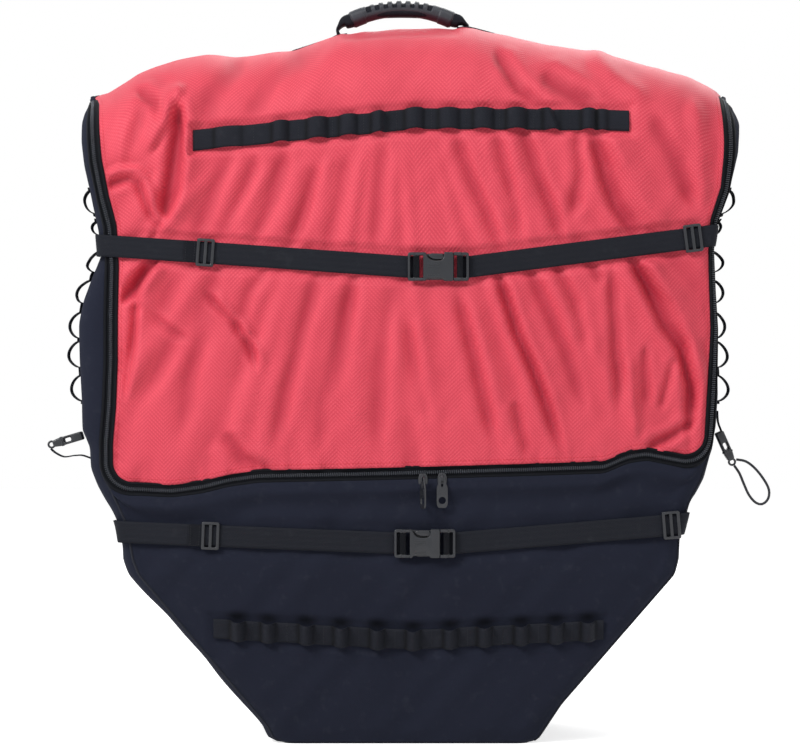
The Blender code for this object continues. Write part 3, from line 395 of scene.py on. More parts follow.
def tape_finish(name, dark, pale, pitch):
    material, tree, shader, place = start_finish(
        name, Roughness=0.78, Specular_IOR_Level=0.12)
    weave = use(tree, PLAIN, {"Cloth": place["UV"], "Pitch": pitch})
    tone = use(tree, TONE, {"Place": place["Object"], "Size": 16.0})
    body = mixed(tree, tone["Tone"], dark, pale)
    tree.links.new(mixed(tree, weave["Thread"], body, pale), shader.inputs["Base Color"])
    bumped(tree, shader, weave["Height"], 0.00012)
    return material


RED_CLOTH, NAVY_CLOTH = red_finish(), navy_finish()
ZIP_TAPE = tape_finish("zip_tape_cloth", (0.0020, 0.0024, 0.0037), (0.0046, 0.0054, 0.0079), 0.0008)
BINDING = tape_finish("edge_binding", (0.0031, 0.0035, 0.0050), (0.0074, 0.0084, 0.0114), 0.0010)
print("cloths:", RED_CLOTH.name, NAVY_CLOTH.name, ZIP_TAPE.name, BINDING.name)


# %% [markdown]
# Webbing and elastic share one weave at two pitches. Stitching thread, zip coil and moulded plastic
# are smoother and take a soft highlight.


# %% Webbing, elastic and thread
def webbing_finish(name, dark, pale, pitch, rough=0.66):
    material, tree, shader, place = start_finish(
        name, Roughness=rough, Specular_IOR_Level=0.16, Sheen_Weight=0.010, Sheen_Roughness=0.4)
    weave = use(tree, WEBBING, {"Cloth": place["UV"], "Pitch": pitch})
    tone = use(tree, TONE, {"Place": place["Object"], "Size": 18.0})
    body = mixed(tree, tone["Tone"], dark, pale)
    thread = mixed(tree, weave["Thread"], body, tuple(1.5 * part for part in pale))
    lint = calc(tree, "MULTIPLY", tone["Dust"], 0.05)
    clean = mixed(tree, lint, thread, (0.15, 0.16, 0.18))
    # Painted shade: near black where the piece's stored shade asks for it, at the loops' feet.
    with_painted_shade(tree, shader, clean, (0.0014, 0.0017, 0.0028))
    bumped(tree, shader, weave["Height"], 0.00022)
    return material


def thread_finish(name, colour, rough):
    material, tree, shader, place = start_finish(name, Roughness=rough, Specular_IOR_Level=0.4)
    tone = use(tree, TONE, {"Place": place["Object"], "Size": 60.0})
    pale = tuple(1.7 * part for part in colour)
    tree.links.new(mixed(tree, tone["Tone"], colour, pale), shader.inputs["Base Color"])
    twist = add(tree, "TexWave", {"Vector": place["Object"], "Scale": 700.0, "Distortion": 2.0})
    bumped(tree, shader, twist.outputs["Fac"], 0.00008)
    return material


STRAP_WEBBING = webbing_finish("strap_webbing", (0.0042, 0.0050, 0.0082),
                               (0.0084, 0.0098, 0.0152), 0.0017)
LOOP_ELASTIC = webbing_finish("loop_elastic", (0.0060, 0.0068, 0.0104),
                              (0.0125, 0.0140, 0.0205), 0.0022, 0.74)
BLACK_THREAD = thread_finish("black_thread", (0.010, 0.011, 0.015), 0.6)
RED_THREAD = thread_finish("red_thread", (0.50, 0.030, 0.045), 0.6)
print("webbings:", STRAP_WEBBING.name, LOOP_ELASTIC.name)


# %% Moulded plastic, zip metal, foam and board
def plastic_finish(name, dark, pale, rough, grain=0.00005):
    material, tree, shader, place = start_finish(name, Specular_IOR_Level=0.5)
    tone = use(tree, TONE, {"Place": place["Object"], "Size": 40.0})
    wear = use(tree, WEAR, {"Place": place["Object"]})
    body = mixed(tree, tone["Tone"], dark, pale)
    worn = mixed(tree, wear["Wear"], body, tuple(2.6 * part for part in pale))
    dusty = calc(tree, "MULTIPLY", tone["Dust"], 0.06)
    clean = mixed(tree, dusty, worn, (0.20, 0.21, 0.23))
    # Painted shade: near black where the piece's stored shade asks for it, in the grip's notches.
    with_painted_shade(tree, shader, clean, (0.0020, 0.0022, 0.0030))
    matt = add(tree, "MapRange",
               {"Value": tone["Tone"], "To Min": rough - 0.07, "To Max": rough + 0.1})
    tree.links.new(matt.outputs[0], shader.inputs["Roughness"])
    surface = use(tree, GRAIN, {"Place": place["Object"]})
    bumped(tree, shader, surface["Height"], grain)
    return material


def foam_finish(name, dark, pale):
    material, tree, shader, place = start_finish(name, Roughness=0.92, Sheen_Weight=0.15)
    weave = use(tree, PLAIN, {"Cloth": place["Object"], "Pitch": 0.0030})
    tone = use(tree, TONE, {"Place": place["Object"], "Size": 11.0})
    body = mixed(tree, tone["Tone"], dark, pale)
    tree.links.new(mixed(tree, tone["Dust"], body, pale), shader.inputs["Base Color"])
    bumped(tree, shader, weave["Height"], 0.00025)
    return material


PLASTIC = plastic_finish("moulded_plastic", (0.0062, 0.0074, 0.0108),
                         (0.0132, 0.0156, 0.0215), 0.34)
RUBBER = plastic_finish("grip_rubber", (0.0120, 0.0138, 0.0190),
                        (0.0270, 0.0315, 0.0425), 0.44, 0.00009)
ZIP_COIL = plastic_finish("zip_coil_nylon", (0.0060, 0.0070, 0.0095),
                          (0.0190, 0.0220, 0.0300), 0.32)
ZIP_METAL = plastic_finish("zip_pull_metal", (0.0080, 0.0088, 0.0112),
                           (0.0210, 0.0232, 0.0300), 0.36)
FOAM = foam_finish("lining_foam", (0.10, 0.105, 0.12), (0.17, 0.18, 0.20))
BOARD = plastic_finish("base_board", (0.020, 0.020, 0.022), (0.045, 0.045, 0.050), 0.55, 0.0002)
print("finishes:", len(bpy.data.materials))

# %% [markdown]
# ## The bag's own surface
# Every cloth panel lies on one surface, the skin. A point on it has two numbers: along, the
# distance round from the middle of the front, and level, the height up the wall and on over the
# crown. The outline was measured on the photograph, on the left and on the right, because a soft
# bag isn't even. Measured points are joined by a line whose corners are then blurred a little.


# %% Measured outlines
def soft_table(places, values, blur):
    """Join measured points by straight lines and round the corners between them."""
    line = np.linspace(places[0], places[-1], 1600)
    joined = np.interp(line, places, values)
    reach = max(1, int(blur / (line[1] - line[0])))
    kernel = np.exp(-np.linspace(-2.0, 2.0, 2 * reach + 1) ** 2)
    kernel /= kernel.sum()
    wide = np.pad(joined, reach, mode="reflect", reflect_type="odd")
    return line, np.convolve(wide, kernel, mode="valid")


def eased(values):
    """A share from 0 to 1 with soft ends."""
    share = np.clip(values, 0.0, 1.0)
    return share * share * (3 - 2 * share)


LEFT_SIDE = soft_table(
    (0.0, 0.0046, 0.0196, 0.197, 0.214, 0.253, 0.274, 0.300, 0.319, 0.343, 0.363, 0.396, 0.443,
     0.485, 0.512, 0.5405, 0.566, 0.611, 0.639, 0.668, 0.697, 0.720, 0.742, 0.760),
    (0.141, 0.155, 0.162, 0.3147, 0.3216, 0.3286, 0.3378, 0.3506, 0.3586, 0.361, 0.3692, 0.3692,
     0.3712, 0.3712, 0.3668, 0.3586, 0.3491, 0.3541, 0.3598, 0.3668, 0.3712, 0.3722, 0.370, 0.366),
    0.006)
RIGHT_SIDE = soft_table(
    (0.0, 0.0046, 0.046, 0.197, 0.214, 0.239, 0.2795, 0.308, 0.343, 0.368, 0.404, 0.480, 0.522,
     0.572, 0.600, 0.638, 0.682, 0.720, 0.7337, 0.760),
    (0.150, 0.160, 0.1871, 0.3159, 0.3205, 0.3216, 0.333, 0.3481, 0.3586, 0.3632, 0.3656, 0.3642,
     0.361, 0.3586, 0.3632, 0.3783, 0.390, 0.3930, 0.3900, 0.384), 0.006)
RIDGE = soft_table(
    (-0.380, -0.3696, -0.348, -0.3108, -0.2676, -0.2316, -0.198, -0.1607, -0.1332, -0.0839, -0.0444,
     -0.0047, 0.0865, 0.1502, 0.1814, 0.2366, 0.2918, 0.3434, 0.3626, 0.390),
    (0.756, 0.7591, 0.7625, 0.7843, 0.7987, 0.8058, 0.8047, 0.8047, 0.8107, 0.8263, 0.8371,
     0.8395, 0.8383, 0.8215, 0.8167, 0.8083, 0.7927, 0.7807, 0.7711, 0.7555), 0.008)
HALF_DEPTH = 0.140
CROWN_RISE = 0.090
STRAIGHT_LEVEL = 0.530
SPRING_LEVEL = 0.700
CORNER = 0.020
print("ridge:", round(float(RIDGE[1].max()), 3), "m high")


# %% The skin
def side_reach(side, height):
    """Half the bag's width at a height, on the left where side is below 0."""
    left = np.interp(height, *LEFT_SIDE)
    right = np.interp(height, *RIGHT_SIDE)
    return np.where(np.asarray(side) < 0, left, right)


def crown_turn(level):
    """How far a level has turned over the crown, 0 on the wall and a right angle at the ridge."""
    return np.maximum(0.0, (level - SPRING_LEVEL) / CROWN_RISE) * math.pi / 2


def wall_depth(height):
    """Half the bag's depth, which narrows towards the bottom."""
    return HALF_DEPTH * np.interp(height, (0.0, 0.197), (0.857, 1.0))


def height_of(x, level):
    """Height of a point of the skin from its level."""
    spring = np.interp(x, *RIDGE) - CROWN_RISE
    share = (level - STRAIGHT_LEVEL) / (SPRING_LEVEL - STRAIGHT_LEVEL)
    slope = STRAIGHT_LEVEL + share * (spring - STRAIGHT_LEVEL)
    turn = crown_turn(level)
    over = spring + CROWN_RISE * np.sin(turn)
    return np.where(level <= STRAIGHT_LEVEL, level, np.where(level <= SPRING_LEVEL, slope, over))


def level_of(x, height):
    """Level of a point of the front from its height."""
    spring = np.interp(x, *RIDGE) - CROWN_RISE
    share = (height - STRAIGHT_LEVEL) / (spring - STRAIGHT_LEVEL)
    slope = STRAIGHT_LEVEL + share * (SPRING_LEVEL - STRAIGHT_LEVEL)
    turn = np.arcsin(np.clip((height - spring) / CROWN_RISE, 0.0, 1.0))
    over = SPRING_LEVEL + CROWN_RISE * turn * 2 / math.pi
    return np.where(height <= STRAIGHT_LEVEL, height, np.where(height <= spring, slope, over))


def skin(along, level, lift=0.0, radius=CORNER, back=False):
    """Points of the skin, as an array of x, y and z."""
    along, level = np.broadcast_arrays(np.asarray(along, float), np.asarray(level, float))
    side = np.where(along < 0, -1.0, 1.0)
    distance = np.abs(along)
    rough = side_reach(side, np.minimum(level, SPRING_LEVEL))
    turn = crown_turn(level)
    reach = np.minimum(distance, rough)
    for _ in range(2):
        height = height_of(side * reach, level)
        width = side_reach(side, height) + lift
        depth = wall_depth(height) * np.cos(turn) + lift
        corner = np.minimum(radius + lift, np.abs(depth) / 2)
        flat, quarter = width - corner, corner * math.pi / 2
        run = 2 * (np.abs(depth) - corner)
        tight = np.maximum(corner, 1e-6)
        first = np.clip((distance - flat) / tight, 0.0, math.pi / 2)
        second = np.clip((distance - flat - quarter - run) / tight, 0.0, math.pi / 2)
        x = np.where(distance <= flat, distance, flat + corner * np.sin(first))
        x = x - corner * (1 - np.cos(second)) - np.maximum(0.0, distance - flat - 2 * quarter - run)
        reach = np.where(distance > flat + quarter, x, np.minimum(distance, rough))
    inward = (corner * (1 - np.cos(first)) + np.clip(distance - flat - quarter, 0.0, run)
              + corner * np.sin(second))
    y = -depth + np.where(depth < 0, -inward, inward)
    y = np.where(distance <= flat, -depth, y)
    y = -y if back else y - 0.010 * np.clip(1 - (x / flat) ** 2, 0.0, 1.0) * np.sin(
        math.pi * np.clip(height / 0.836, 0.0, 1.0)) * (distance < flat)
    return np.stack([side * x, y, height], axis=-1)


def side_run(side, level):
    """Distances round to the side's first corner and to its last."""
    side = np.where(np.asarray(side) < 0, -1.0, 1.0)
    height = height_of(side * 0.36, level)
    turn = crown_turn(level)
    depth = np.abs(wall_depth(height) * np.cos(turn))
    corner = np.minimum(CORNER, depth / 2)
    flat = side_reach(side, height) - corner
    return flat, flat + corner * math.pi + 2 * (depth - corner)


print("front at strap height:", skin(0.0, 0.55).round(4).tolist())

# %% [markdown]
# A panel starts as Blender's own flat grid. Its points are then laid on the skin, all at once, by
# a function that gives them their places and also their cloth coordinates in metres, which become
# the UV map that the weave follows. A panel that stands for padding gets a wall with Solidify.


# %% Laying a grid of cloth
def lay(name, material, columns, rows, place, wall=0.0, flip=False, body="shell", offset=-1.0):
    """A grid of cloth laid by place(u, v), which gives points and cloth coordinates."""
    mesh = bpy.data.meshes.new(name)
    grid = bmesh.new()
    bmesh.ops.create_grid(grid, x_segments=columns, y_segments=rows, size=0.5)
    if flip:
        bmesh.ops.reverse_faces(grid, faces=grid.faces)
    for face in grid.faces:
        face.smooth = True
    grid.to_mesh(mesh)
    grid.free()
    flat = np.empty(len(mesh.vertices) * 3)
    mesh.vertices.foreach_get("co", flat)
    flat = flat.reshape(-1, 3) + 0.5
    points, cloth = place(flat[:, 0], flat[:, 1])
    mesh.vertices.foreach_set("co", points.astype(np.float32).ravel())
    corners = np.empty(len(mesh.loops), dtype=np.int32)
    mesh.loops.foreach_get("vertex_index", corners)
    uv = mesh.uv_layers.new(name="UVMap")
    uv.data.foreach_set("uv", cloth[corners].astype(np.float32).ravel())
    mesh.update()
    obj = bpy.data.objects.new(name, mesh)
    scene.collection.objects.link(obj)
    mesh.materials.append(material)
    if wall:
        solid = obj.modifiers.new("wall", "SOLIDIFY")
        solid.thickness = wall
        solid.offset = offset
    if body:
        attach(obj, body)
    return obj


def area_of(obj):
    """Area of a piece's own cloth, in square metres."""
    return sum(face.area for face in obj.data.polygons)


def rows_of(items, field):
    """Three numbers from each of a mesh's items, as an array."""
    flat = np.empty(len(items) * 3, dtype=np.float32)
    items.foreach_get(field, flat)
    return flat.reshape(-1, 3).astype(float)


def points_of(obj):
    """Places of a mesh's points."""
    return rows_of(obj.data.vertices, "co")


def push_out(obj, relief):
    """Move each point of a grid by its relief, in the direction that it faces."""
    points = points_of(obj) + rows_of(obj.data.vertex_normals, "vector") * relief[:, None]
    obj.data.vertices.foreach_set("co", points.astype(np.float32).ravel())
    obj.data.update()


def grid_of(columns, rows):
    """The u and v of every point of a grid, in the order in which lay() has them."""
    u, v = np.meshgrid(np.linspace(0, 1, columns + 1), np.linspace(0, 1, rows + 1))
    return u.ravel(), v.ravel()


def keep_painted_shade(obj, painted_shade):
    """Store how much painted shade each point gets, for the finish to read."""
    tint = obj.data.attributes.new("painted_shade", "FLOAT", "POINT")
    tint.data.foreach_set("value", painted_shade.astype(np.float32))


print("helpers for cloth ready")

# %% [markdown]
# ## The thin cord on the right
# A loop of thin cord hangs from the small buckle on the right, out and back into it. It is 133 mm
# long and 3 mm thick, and the photograph shows all of it.

# %% Thin cord loop
RIGHT_BUCKLE = Vector((0.3760, -0.100, 0.3440))
TAIL_ROUTE = ((0.0133, -0.0157), (0.0240, -0.0178), (0.0340, -0.0250), (0.0440, -0.0370),
              (0.0510, -0.0500), (0.0505, -0.0610), (0.0440, -0.0675), (0.0360, -0.0660),
              (0.0280, -0.0570), (0.0220, -0.0440), (0.0170, -0.0320), (0.0109, -0.0228))


def rounded_route(route, count):
    """One smooth curve of evenly spaced points through a route's points."""
    knots = np.array(route, float)
    ends = np.vstack([2 * knots[0] - knots[1], knots, 2 * knots[-1] - knots[-2]])
    line = []
    for index in range(1, len(ends) - 2):
        a, b, c, d = ends[index - 1:index + 3]
        for step in np.linspace(0.0, 1.0, 24, endpoint=False):
            line.append(0.5 * (2 * b + (c - a) * step + (2 * a - 5 * b + 4 * c - d) * step ** 2
                               + (3 * b - a - 3 * c + d) * step ** 3))
    line = np.array(line + [ends[-2]])
    travel = np.concatenate([[0.0], np.cumsum(np.linalg.norm(np.diff(line, axis=0), axis=1))])
    evenly = np.linspace(0.0, travel[-1], count)
    return np.stack([np.interp(evenly, travel, line[:, axis]) for axis in range(3)], axis=1)


tail_points = rounded_route([(RIGHT_BUCKLE.x + out, RIGHT_BUCKLE.y, RIGHT_BUCKLE.z + up)
                             for out, up in TAIL_ROUTE], 40)
tail_curve = bpy.data.curves.new("tail_cord", "CURVE")
tail_curve.dimensions = "3D"
tail_curve.bevel_depth = 0.0015
tail_curve.bevel_resolution = 4
tail_curve.use_fill_caps = True
tail_spline = tail_curve.splines.new("POLY")
tail_spline.points.add(len(tail_points) - 1)
for spot, point in zip(tail_points, tail_spline.points):
    point.co = (*spot, 1.0)
tail_cord = bpy.data.objects.new("tail_cord", tail_curve)
scene.collection.objects.link(tail_cord)
tail_curve.materials.append(BLACK_THREAD)
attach(tail_cord, "side_buckle_right")
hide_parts("tail_loop_right")

# %% [markdown]
# ## The red cloth
# The front, the lid and the crown are one drape of red cloth. Its folds give the bag its look, so
# they are set one by one: each is a line of points read off the photograph, with a depth and a
# width on either side. A steep side next to a gentle one makes a crease, and an even pair makes a
# roll. A simulation would give folds too, but not these, so they are sculpted in code.


# %% Edges of the red cloth
LEFT_EDGE = soft_table(
    (0.293, 0.348, 0.390, 0.443, 0.4957, 0.5525, 0.606, 0.648, 0.700, 0.753, 0.762, 0.780, 0.800),
    (0.3335, 0.3335, 0.330, 0.328, 0.328, 0.3268, 0.3295, 0.3385, 0.3465, 0.3555, 0.3600, 0.3745,
     0.377), 0.004)
RIGHT_EDGE = soft_table(
    (0.293, 0.3634, 0.4037, 0.480, 0.550, 0.614, 0.6587, 0.7135, 0.7459, 0.762, 0.780, 0.800),
    (0.3482, 0.3496, 0.352, 0.3572, 0.356, 0.357, 0.368, 0.372, 0.3725, 0.3740, 0.381, 0.383),
    0.004)
HEM = soft_table(
    (-0.345, -0.3036, -0.2645, -0.230, -0.1978, -0.1645, -0.0023, 0.1587, 0.1978, 0.2323, 0.2588,
     0.2806, 0.3036, 0.3255, 0.345, 0.360),
    (0.3030, 0.3022, 0.3002, 0.3048, 0.3128, 0.3174, 0.3209, 0.3255, 0.3266, 0.3278, 0.3393,
     0.3427, 0.3381, 0.3340, 0.3345, 0.3350), 0.010)
HEM_CORNER = 0.024


def red_edge(side, level):
    """Distance of the red cloth's edge from the middle of the front."""
    near, far = side_run(side, level)
    edge = np.where(np.asarray(side) < 0, np.interp(level, *LEFT_EDGE),
                    np.interp(level, *RIGHT_EDGE))
    return np.minimum(edge, (near + far) / 2)


def hem_path(offset=0.0):
    """Points round the lower end of the red cloth, an offset outside it, left to right."""
    arc_steps, steps = 14, 200
    points = []
    reach = HEM_CORNER + offset
    centres = (HEM_CORNER - float(red_edge(-1, 0.33)), float(red_edge(1, 0.355)) - HEM_CORNER)
    for centre, start in ((centres[0], math.pi), (centres[1], 1.5 * math.pi)):
        middle = float(np.interp(centre, *HEM)) + HEM_CORNER
        for step in range(arc_steps + 1):
            turn = start + step / arc_steps * math.pi / 2
            points.append((centre + reach * math.cos(turn), middle + reach * math.sin(turn)))
        if centre == centres[0]:
            for step in range(1, steps):
                x = centre + step / steps * (centres[1] - centre)
                points.append((x, float(np.interp(x, *HEM)) - offset))
    return np.array(points)


def u_path(offset, top, step=0.003):
    """The whole U: down the left edge of the red cloth, along its hem and up the right edge."""
    hem = hem_path(offset)
    left = np.arange(top, hem[0, 1], -step)
    right = np.arange(top, hem[-1, 1], -step)[::-1]
    down = np.stack([-(red_edge(-1, left) + offset), left], axis=1)
    up = np.stack([red_edge(1, right) + offset, right], axis=1)
    return np.vstack([down, hem, up])


print("hem points:", len(hem_path()), "U points:", len(u_path(0.0, 0.76)))

# %% [markdown]
# The folds are given in pixels of the photograph: a height in millimetres, where a valley is below
# 0, a width to the left and to the right of the line, and the line itself.

# %% Folds read off the photograph
FOLDS = (
    (4.5, 11, 4, (180, 97), (172, 108), (163, 123), (151, 145)),
    (4.0, 4, 13, (180, 97), (186, 112), (188, 131), (189, 160), (186, 190), (178, 210), (169, 226)),
    (-6.0, 6, 8, (180, 112), (176, 140), (172, 170), (167, 195), (163, 213)),
    (3.0, 4, 4, (106, 176), (120, 170), (138, 170), (146, 178), (150, 190), (158, 213), (165, 223)),
    (-3.0, 5, 4, (110, 185), (128, 179), (138, 184), (145, 200), (153, 218)),
    (2.0, 9, 5, (134, 104), (126, 130), (121, 158)),
    (-6.5, 7, 5, (153, 262), (140, 280), (127, 297)),
    (4.0, 5, 12, (160, 264), (147, 284), (143, 321), (139, 352), (131, 392)),
    (-2.5, 4, 3, (136, 300), (135, 330), (132, 362), (126, 392)),
    (-2.5, 4, 3, (158, 228), (153, 238)),
    (-3.0, 9, 9, (254, 163), (240, 200), (221, 240)),
    (-3.0, 9, 8, (284, 160), (270, 200), (254, 238)),
    (-2.6, 8, 8, (315, 172), (305, 210), (294, 240)),
    (-2.4, 9, 9, (230, 158), (216, 195), (200, 229)),
    (-2.0, 8, 8, (345, 165), (336, 205), (328, 243)),
    (-2.0, 8, 8, (384, 150), (378, 200), (374, 246)),
    (-3.5, 6, 6, (500, 60), (510, 75), (520, 90), (543, 105)),
    (-4.5, 11, 8, (549, 80), (568, 91), (590, 101)),
    (2.5, 8, 9, (596, 62), (610, 80), (640, 100)),
    (-2.0, 10, 10, (300, 58), (276, 80), (252, 112)),
    (-2.0, 10, 12, (236, 66), (214, 92), (198, 122)),
    (1.8, 10, 12, (350, 44), (330, 66), (306, 104)),
    (-3.2, 7, 6, (458, 140), (472, 179), (486, 210), (499, 246)),
    (-3.2, 7, 6, (498, 137), (508, 179), (521, 232)),
    (-3.6, 7, 6, (524, 133), (537, 171), (553, 214), (561, 238)),
    (-3.0, 6, 7, (577, 136), (581, 172), (572, 212)),
    (-5.5, 6, 9, (593, 140), (603, 175), (615, 206), (634, 234)),
    (4.0, 8, 16, (612, 136), (629, 170), (648, 206), (664, 228)),
    (-2.5, 8, 8, (655, 120), (676, 160), (694, 205)),
    (2.4, 8, 8, (694, 108), (700, 150), (702, 200)),
    (-3.4, 4, 5, (212, 300), (233, 321), (251, 348), (255, 366)),
    (2.6, 7, 3, (222, 300), (243, 322), (259, 348)),
    (-3.4, 8, 8, (316, 276), (304, 321), (290, 374), (273, 446)),
    (-3.0, 9, 9, (353, 280), (335, 346), (322, 403), (318, 456)),
    (-2.2, 9, 9, (394, 282), (384, 340), (378, 400), (377, 456)),
    (-2.6, 7, 7, (262, 274), (250, 292), (238, 330)),
    (-2.0, 9, 9, (216, 276), (203, 320), (190, 380), (180, 440)),
    (-3.6, 9, 6, (231, 440), (243, 458), (266, 468)),
    (-2.0, 5, 4, (146, 310), (160, 322), (182, 336)),
    (-2.2, 7, 7, (409, 330), (418, 370), (429, 425)),
    (-3.6, 7, 6, (459, 300), (475, 360), (494, 440)),
    (-5.0, 6, 5, (496, 268), (508, 303), (517, 333), (532, 366), (550, 417), (562, 452)),
    (2.4, 5, 9, (506, 272), (518, 303), (529, 335), (546, 372), (562, 412)),
    (-3.0, 7, 6, (528, 266), (545, 303), (566, 353), (585, 410)),
    (-3.6, 6, 6, (554, 262), (574, 303), (587, 350)),
    (-2.6, 5, 5, (588, 260), (598, 276)),
    (-3.2, 5, 6, (611, 272), (614, 320), (616, 362), (618, 415)),
    (-7.0, 6, 7, (630, 256), (646, 285), (664, 325), (682, 350), (691, 384), (689, 436)),
    (4.5, 5, 13, (642, 256), (658, 280), (675, 300), (692, 340), (697, 390)),
    (3.0, 5, 5, (630, 366), (632, 400), (634, 430)),
    (-2.6, 4, 4, (645, 355), (647, 398)),
    (-2.6, 4, 4, (672, 366), (662, 402)),
    (-4.0, 5, 5, (654, 444), (672, 436), (686, 426)),
    (-2.6, 5, 5, (516, 410), (520, 430), (525, 446)),
    (-3.0, 5, 5, (146, 96), (156, 104), (160, 118)),
)
print("folds:", len(FOLDS))


# %% Height of the folds
def pixels_of(points):
    """Where the camera sees points, in pixels of the photograph."""
    reach = (FRONT_Y - EYE.y) / (points[:, 1] - EYE.y) / PIXEL
    across = PICTURE_MIDDLE[0] + (points[:, 0] - EYE.x) * reach
    down = PICTURE_MIDDLE[1] - (points[:, 2] - EYE.z) * reach
    return across, down


def longer(end, before):
    """An end of a fold moved 12 pixels on, since folds fade towards their ends."""
    reach = 1 + 12 / math.dist(end, before)
    return (before[0] + reach * (end[0] - before[0]), before[1] + reach * (end[1] - before[1]))


def fold_height(across, down, fold):
    """Height that one fold adds at each point, in metres."""
    rise, left, right, *line = fold
    line = [longer(line[0], line[1])] + line[1:-1] + [longer(line[-1], line[-2])]
    best = np.full(across.shape, 1e9)
    signed, share = np.zeros_like(best), np.zeros_like(best)
    lengths = [math.dist(a, b) for a, b in zip(line, line[1:])]
    gone = 0.0
    for (ax, ay), (bx, by), length in zip(line, line[1:], lengths):
        t = np.clip(((across - ax) * (bx - ax) + (down - ay) * (by - ay)) / length ** 2, 0.0, 1.0)
        dx, dy = across - ax - t * (bx - ax), down - ay - t * (by - ay)
        distance = np.hypot(dx, dy)
        nearer = distance < best
        best = np.where(nearer, distance, best)
        turn = np.sign(dx * (by - ay) - dy * (bx - ax))
        signed = np.where(nearer, turn * distance, signed)
        share = np.where(nearer, (gone + t * length) / sum(lengths), share)
        gone += length
    ends = np.clip(share / 0.20 + 0.12, 0.0, 1.0) * np.clip((1 - share) / 0.26 + 0.10, 0.0, 1.0)
    ends = eased(ends)
    width = np.where(signed < 0, left, right) * (0.55 + 0.45 * ends)
    across_fold = signed / width
    shape = np.exp(-across_fold ** 2) - 0.34 * np.exp(-((np.abs(across_fold) - 1.9) / 1.0) ** 2)
    return 0.001 * rise * ends * shape


def ripple(values, pitch, seed):
    """Uneven waves: three sines whose pitches don't divide each other."""
    return (np.sin(2 * math.pi * values / pitch + seed)
            + 0.6 * np.sin(2 * math.pi * values / (1.62 * pitch) + 2.3 * seed)
            + 0.4 * np.sin(2 * math.pi * values / (0.71 * pitch) + 4.1 * seed)) / 2.0


one_fold = fold_height(np.array([172.0]), np.array([108.0]), FOLDS[0])
print("one fold is", round(1000 * float(one_fold[0]), 1), "mm high")

# %% [markdown]
# Under a strap or a loop row the cloth is pressed flat, so folds fade out there, and between them
# it puffs up a little. Along the zip the cloth is gathered by the seam into short puckers.


# %% Straps and rows that press on the cloth
UPPER_STRAP = ((-0.3665, 0.577), (0.0064, 0.5505), (0.0764, 0.5505), (0.3665, 0.588))
LOWER_STRAP = ((-0.3665, 0.248), (-0.0090, 0.2340), (0.0610, 0.2340), (0.3665, 0.259))
UPPER_ROW = ((-0.240, 0.696), (0.021, 0.721), (0.261, 0.719))
LOWER_ROW = ((-0.217, 0.1345), (0.010, 0.122), (0.232, 0.133))
LOWER_LOOP_SPOTS = (-0.1892, -0.1541, -0.1104, -0.0702, -0.0288, 0.0127, 0.0558, 0.0949, 0.1369,
                    0.1771, 0.2139)
WEBBING_WIDTH = 0.025


def line_height(line, x):
    """Height of a strap or row across the bag."""
    places, heights = zip(*line)
    return np.interp(x, places, heights)


def pressed(points, line, reach, fade):
    """1 under a strap or row, falling to 0 past its edges."""
    places = [place for place, _ in line]
    away = np.abs(points[:, 2] - line_height(line, points[:, 0]))
    beyond = np.maximum(places[0] - points[:, 0], points[:, 0] - places[-1])
    away = np.maximum(away - reach, np.maximum(beyond, 0.0))
    return eased(1 - away / fade)


print("strap height at the middle:", float(line_height(UPPER_STRAP, 0.0)))

# %% Red cloth, laid and folded
ARC_LEVELS = np.linspace(SPRING_LEVEL, SPRING_LEVEL + 0.1215, 400)
arc_turns = (ARC_LEVELS - SPRING_LEVEL) / CROWN_RISE * math.pi / 2
arc_steps = np.hypot(HALF_DEPTH * np.diff(np.cos(arc_turns)),
                     CROWN_RISE * np.diff(np.sin(arc_turns)))
ARC_TRAVEL = SPRING_LEVEL + np.concatenate([[0.0], np.cumsum(arc_steps)])


def travel_of(level):
    """Distance up the cloth at a level, which grows faster than the level over the crown."""
    return np.where(level <= SPRING_LEVEL, level, np.interp(level, ARC_LEVELS, ARC_TRAVEL))


def level_at_travel(travel):
    return np.where(travel <= SPRING_LEVEL, travel, np.interp(travel, ARC_TRAVEL, ARC_LEVELS))


RED_TOP = float(travel_of(0.8195))
RED_GRID = (210, 226)
hem_points = hem_path()


def red_spot(u, v):
    """Along, level and the hem's level for each point of the red grid."""
    index = u * (len(hem_points) - 1)
    count = np.arange(len(hem_points))
    start = np.interp(index, count, hem_points[:, 0])
    low = np.interp(index, count, hem_points[:, 1])
    level = level_at_travel(low + v * (RED_TOP - low))
    along = start * red_edge(start, level) / red_edge(start, low)
    return along, level, low


def place_red(u, v):
    along, level, _ = red_spot(u, v)
    return skin(along, level), np.stack([along, travel_of(level)], axis=1)


red_cloth = lay("red_cloth", RED_CLOTH, *RED_GRID, place_red, wall=0.0008, body=None)
print("red cloth:", len(red_cloth.data.polygons), "faces,", round(area_of(red_cloth), 3), "m2")


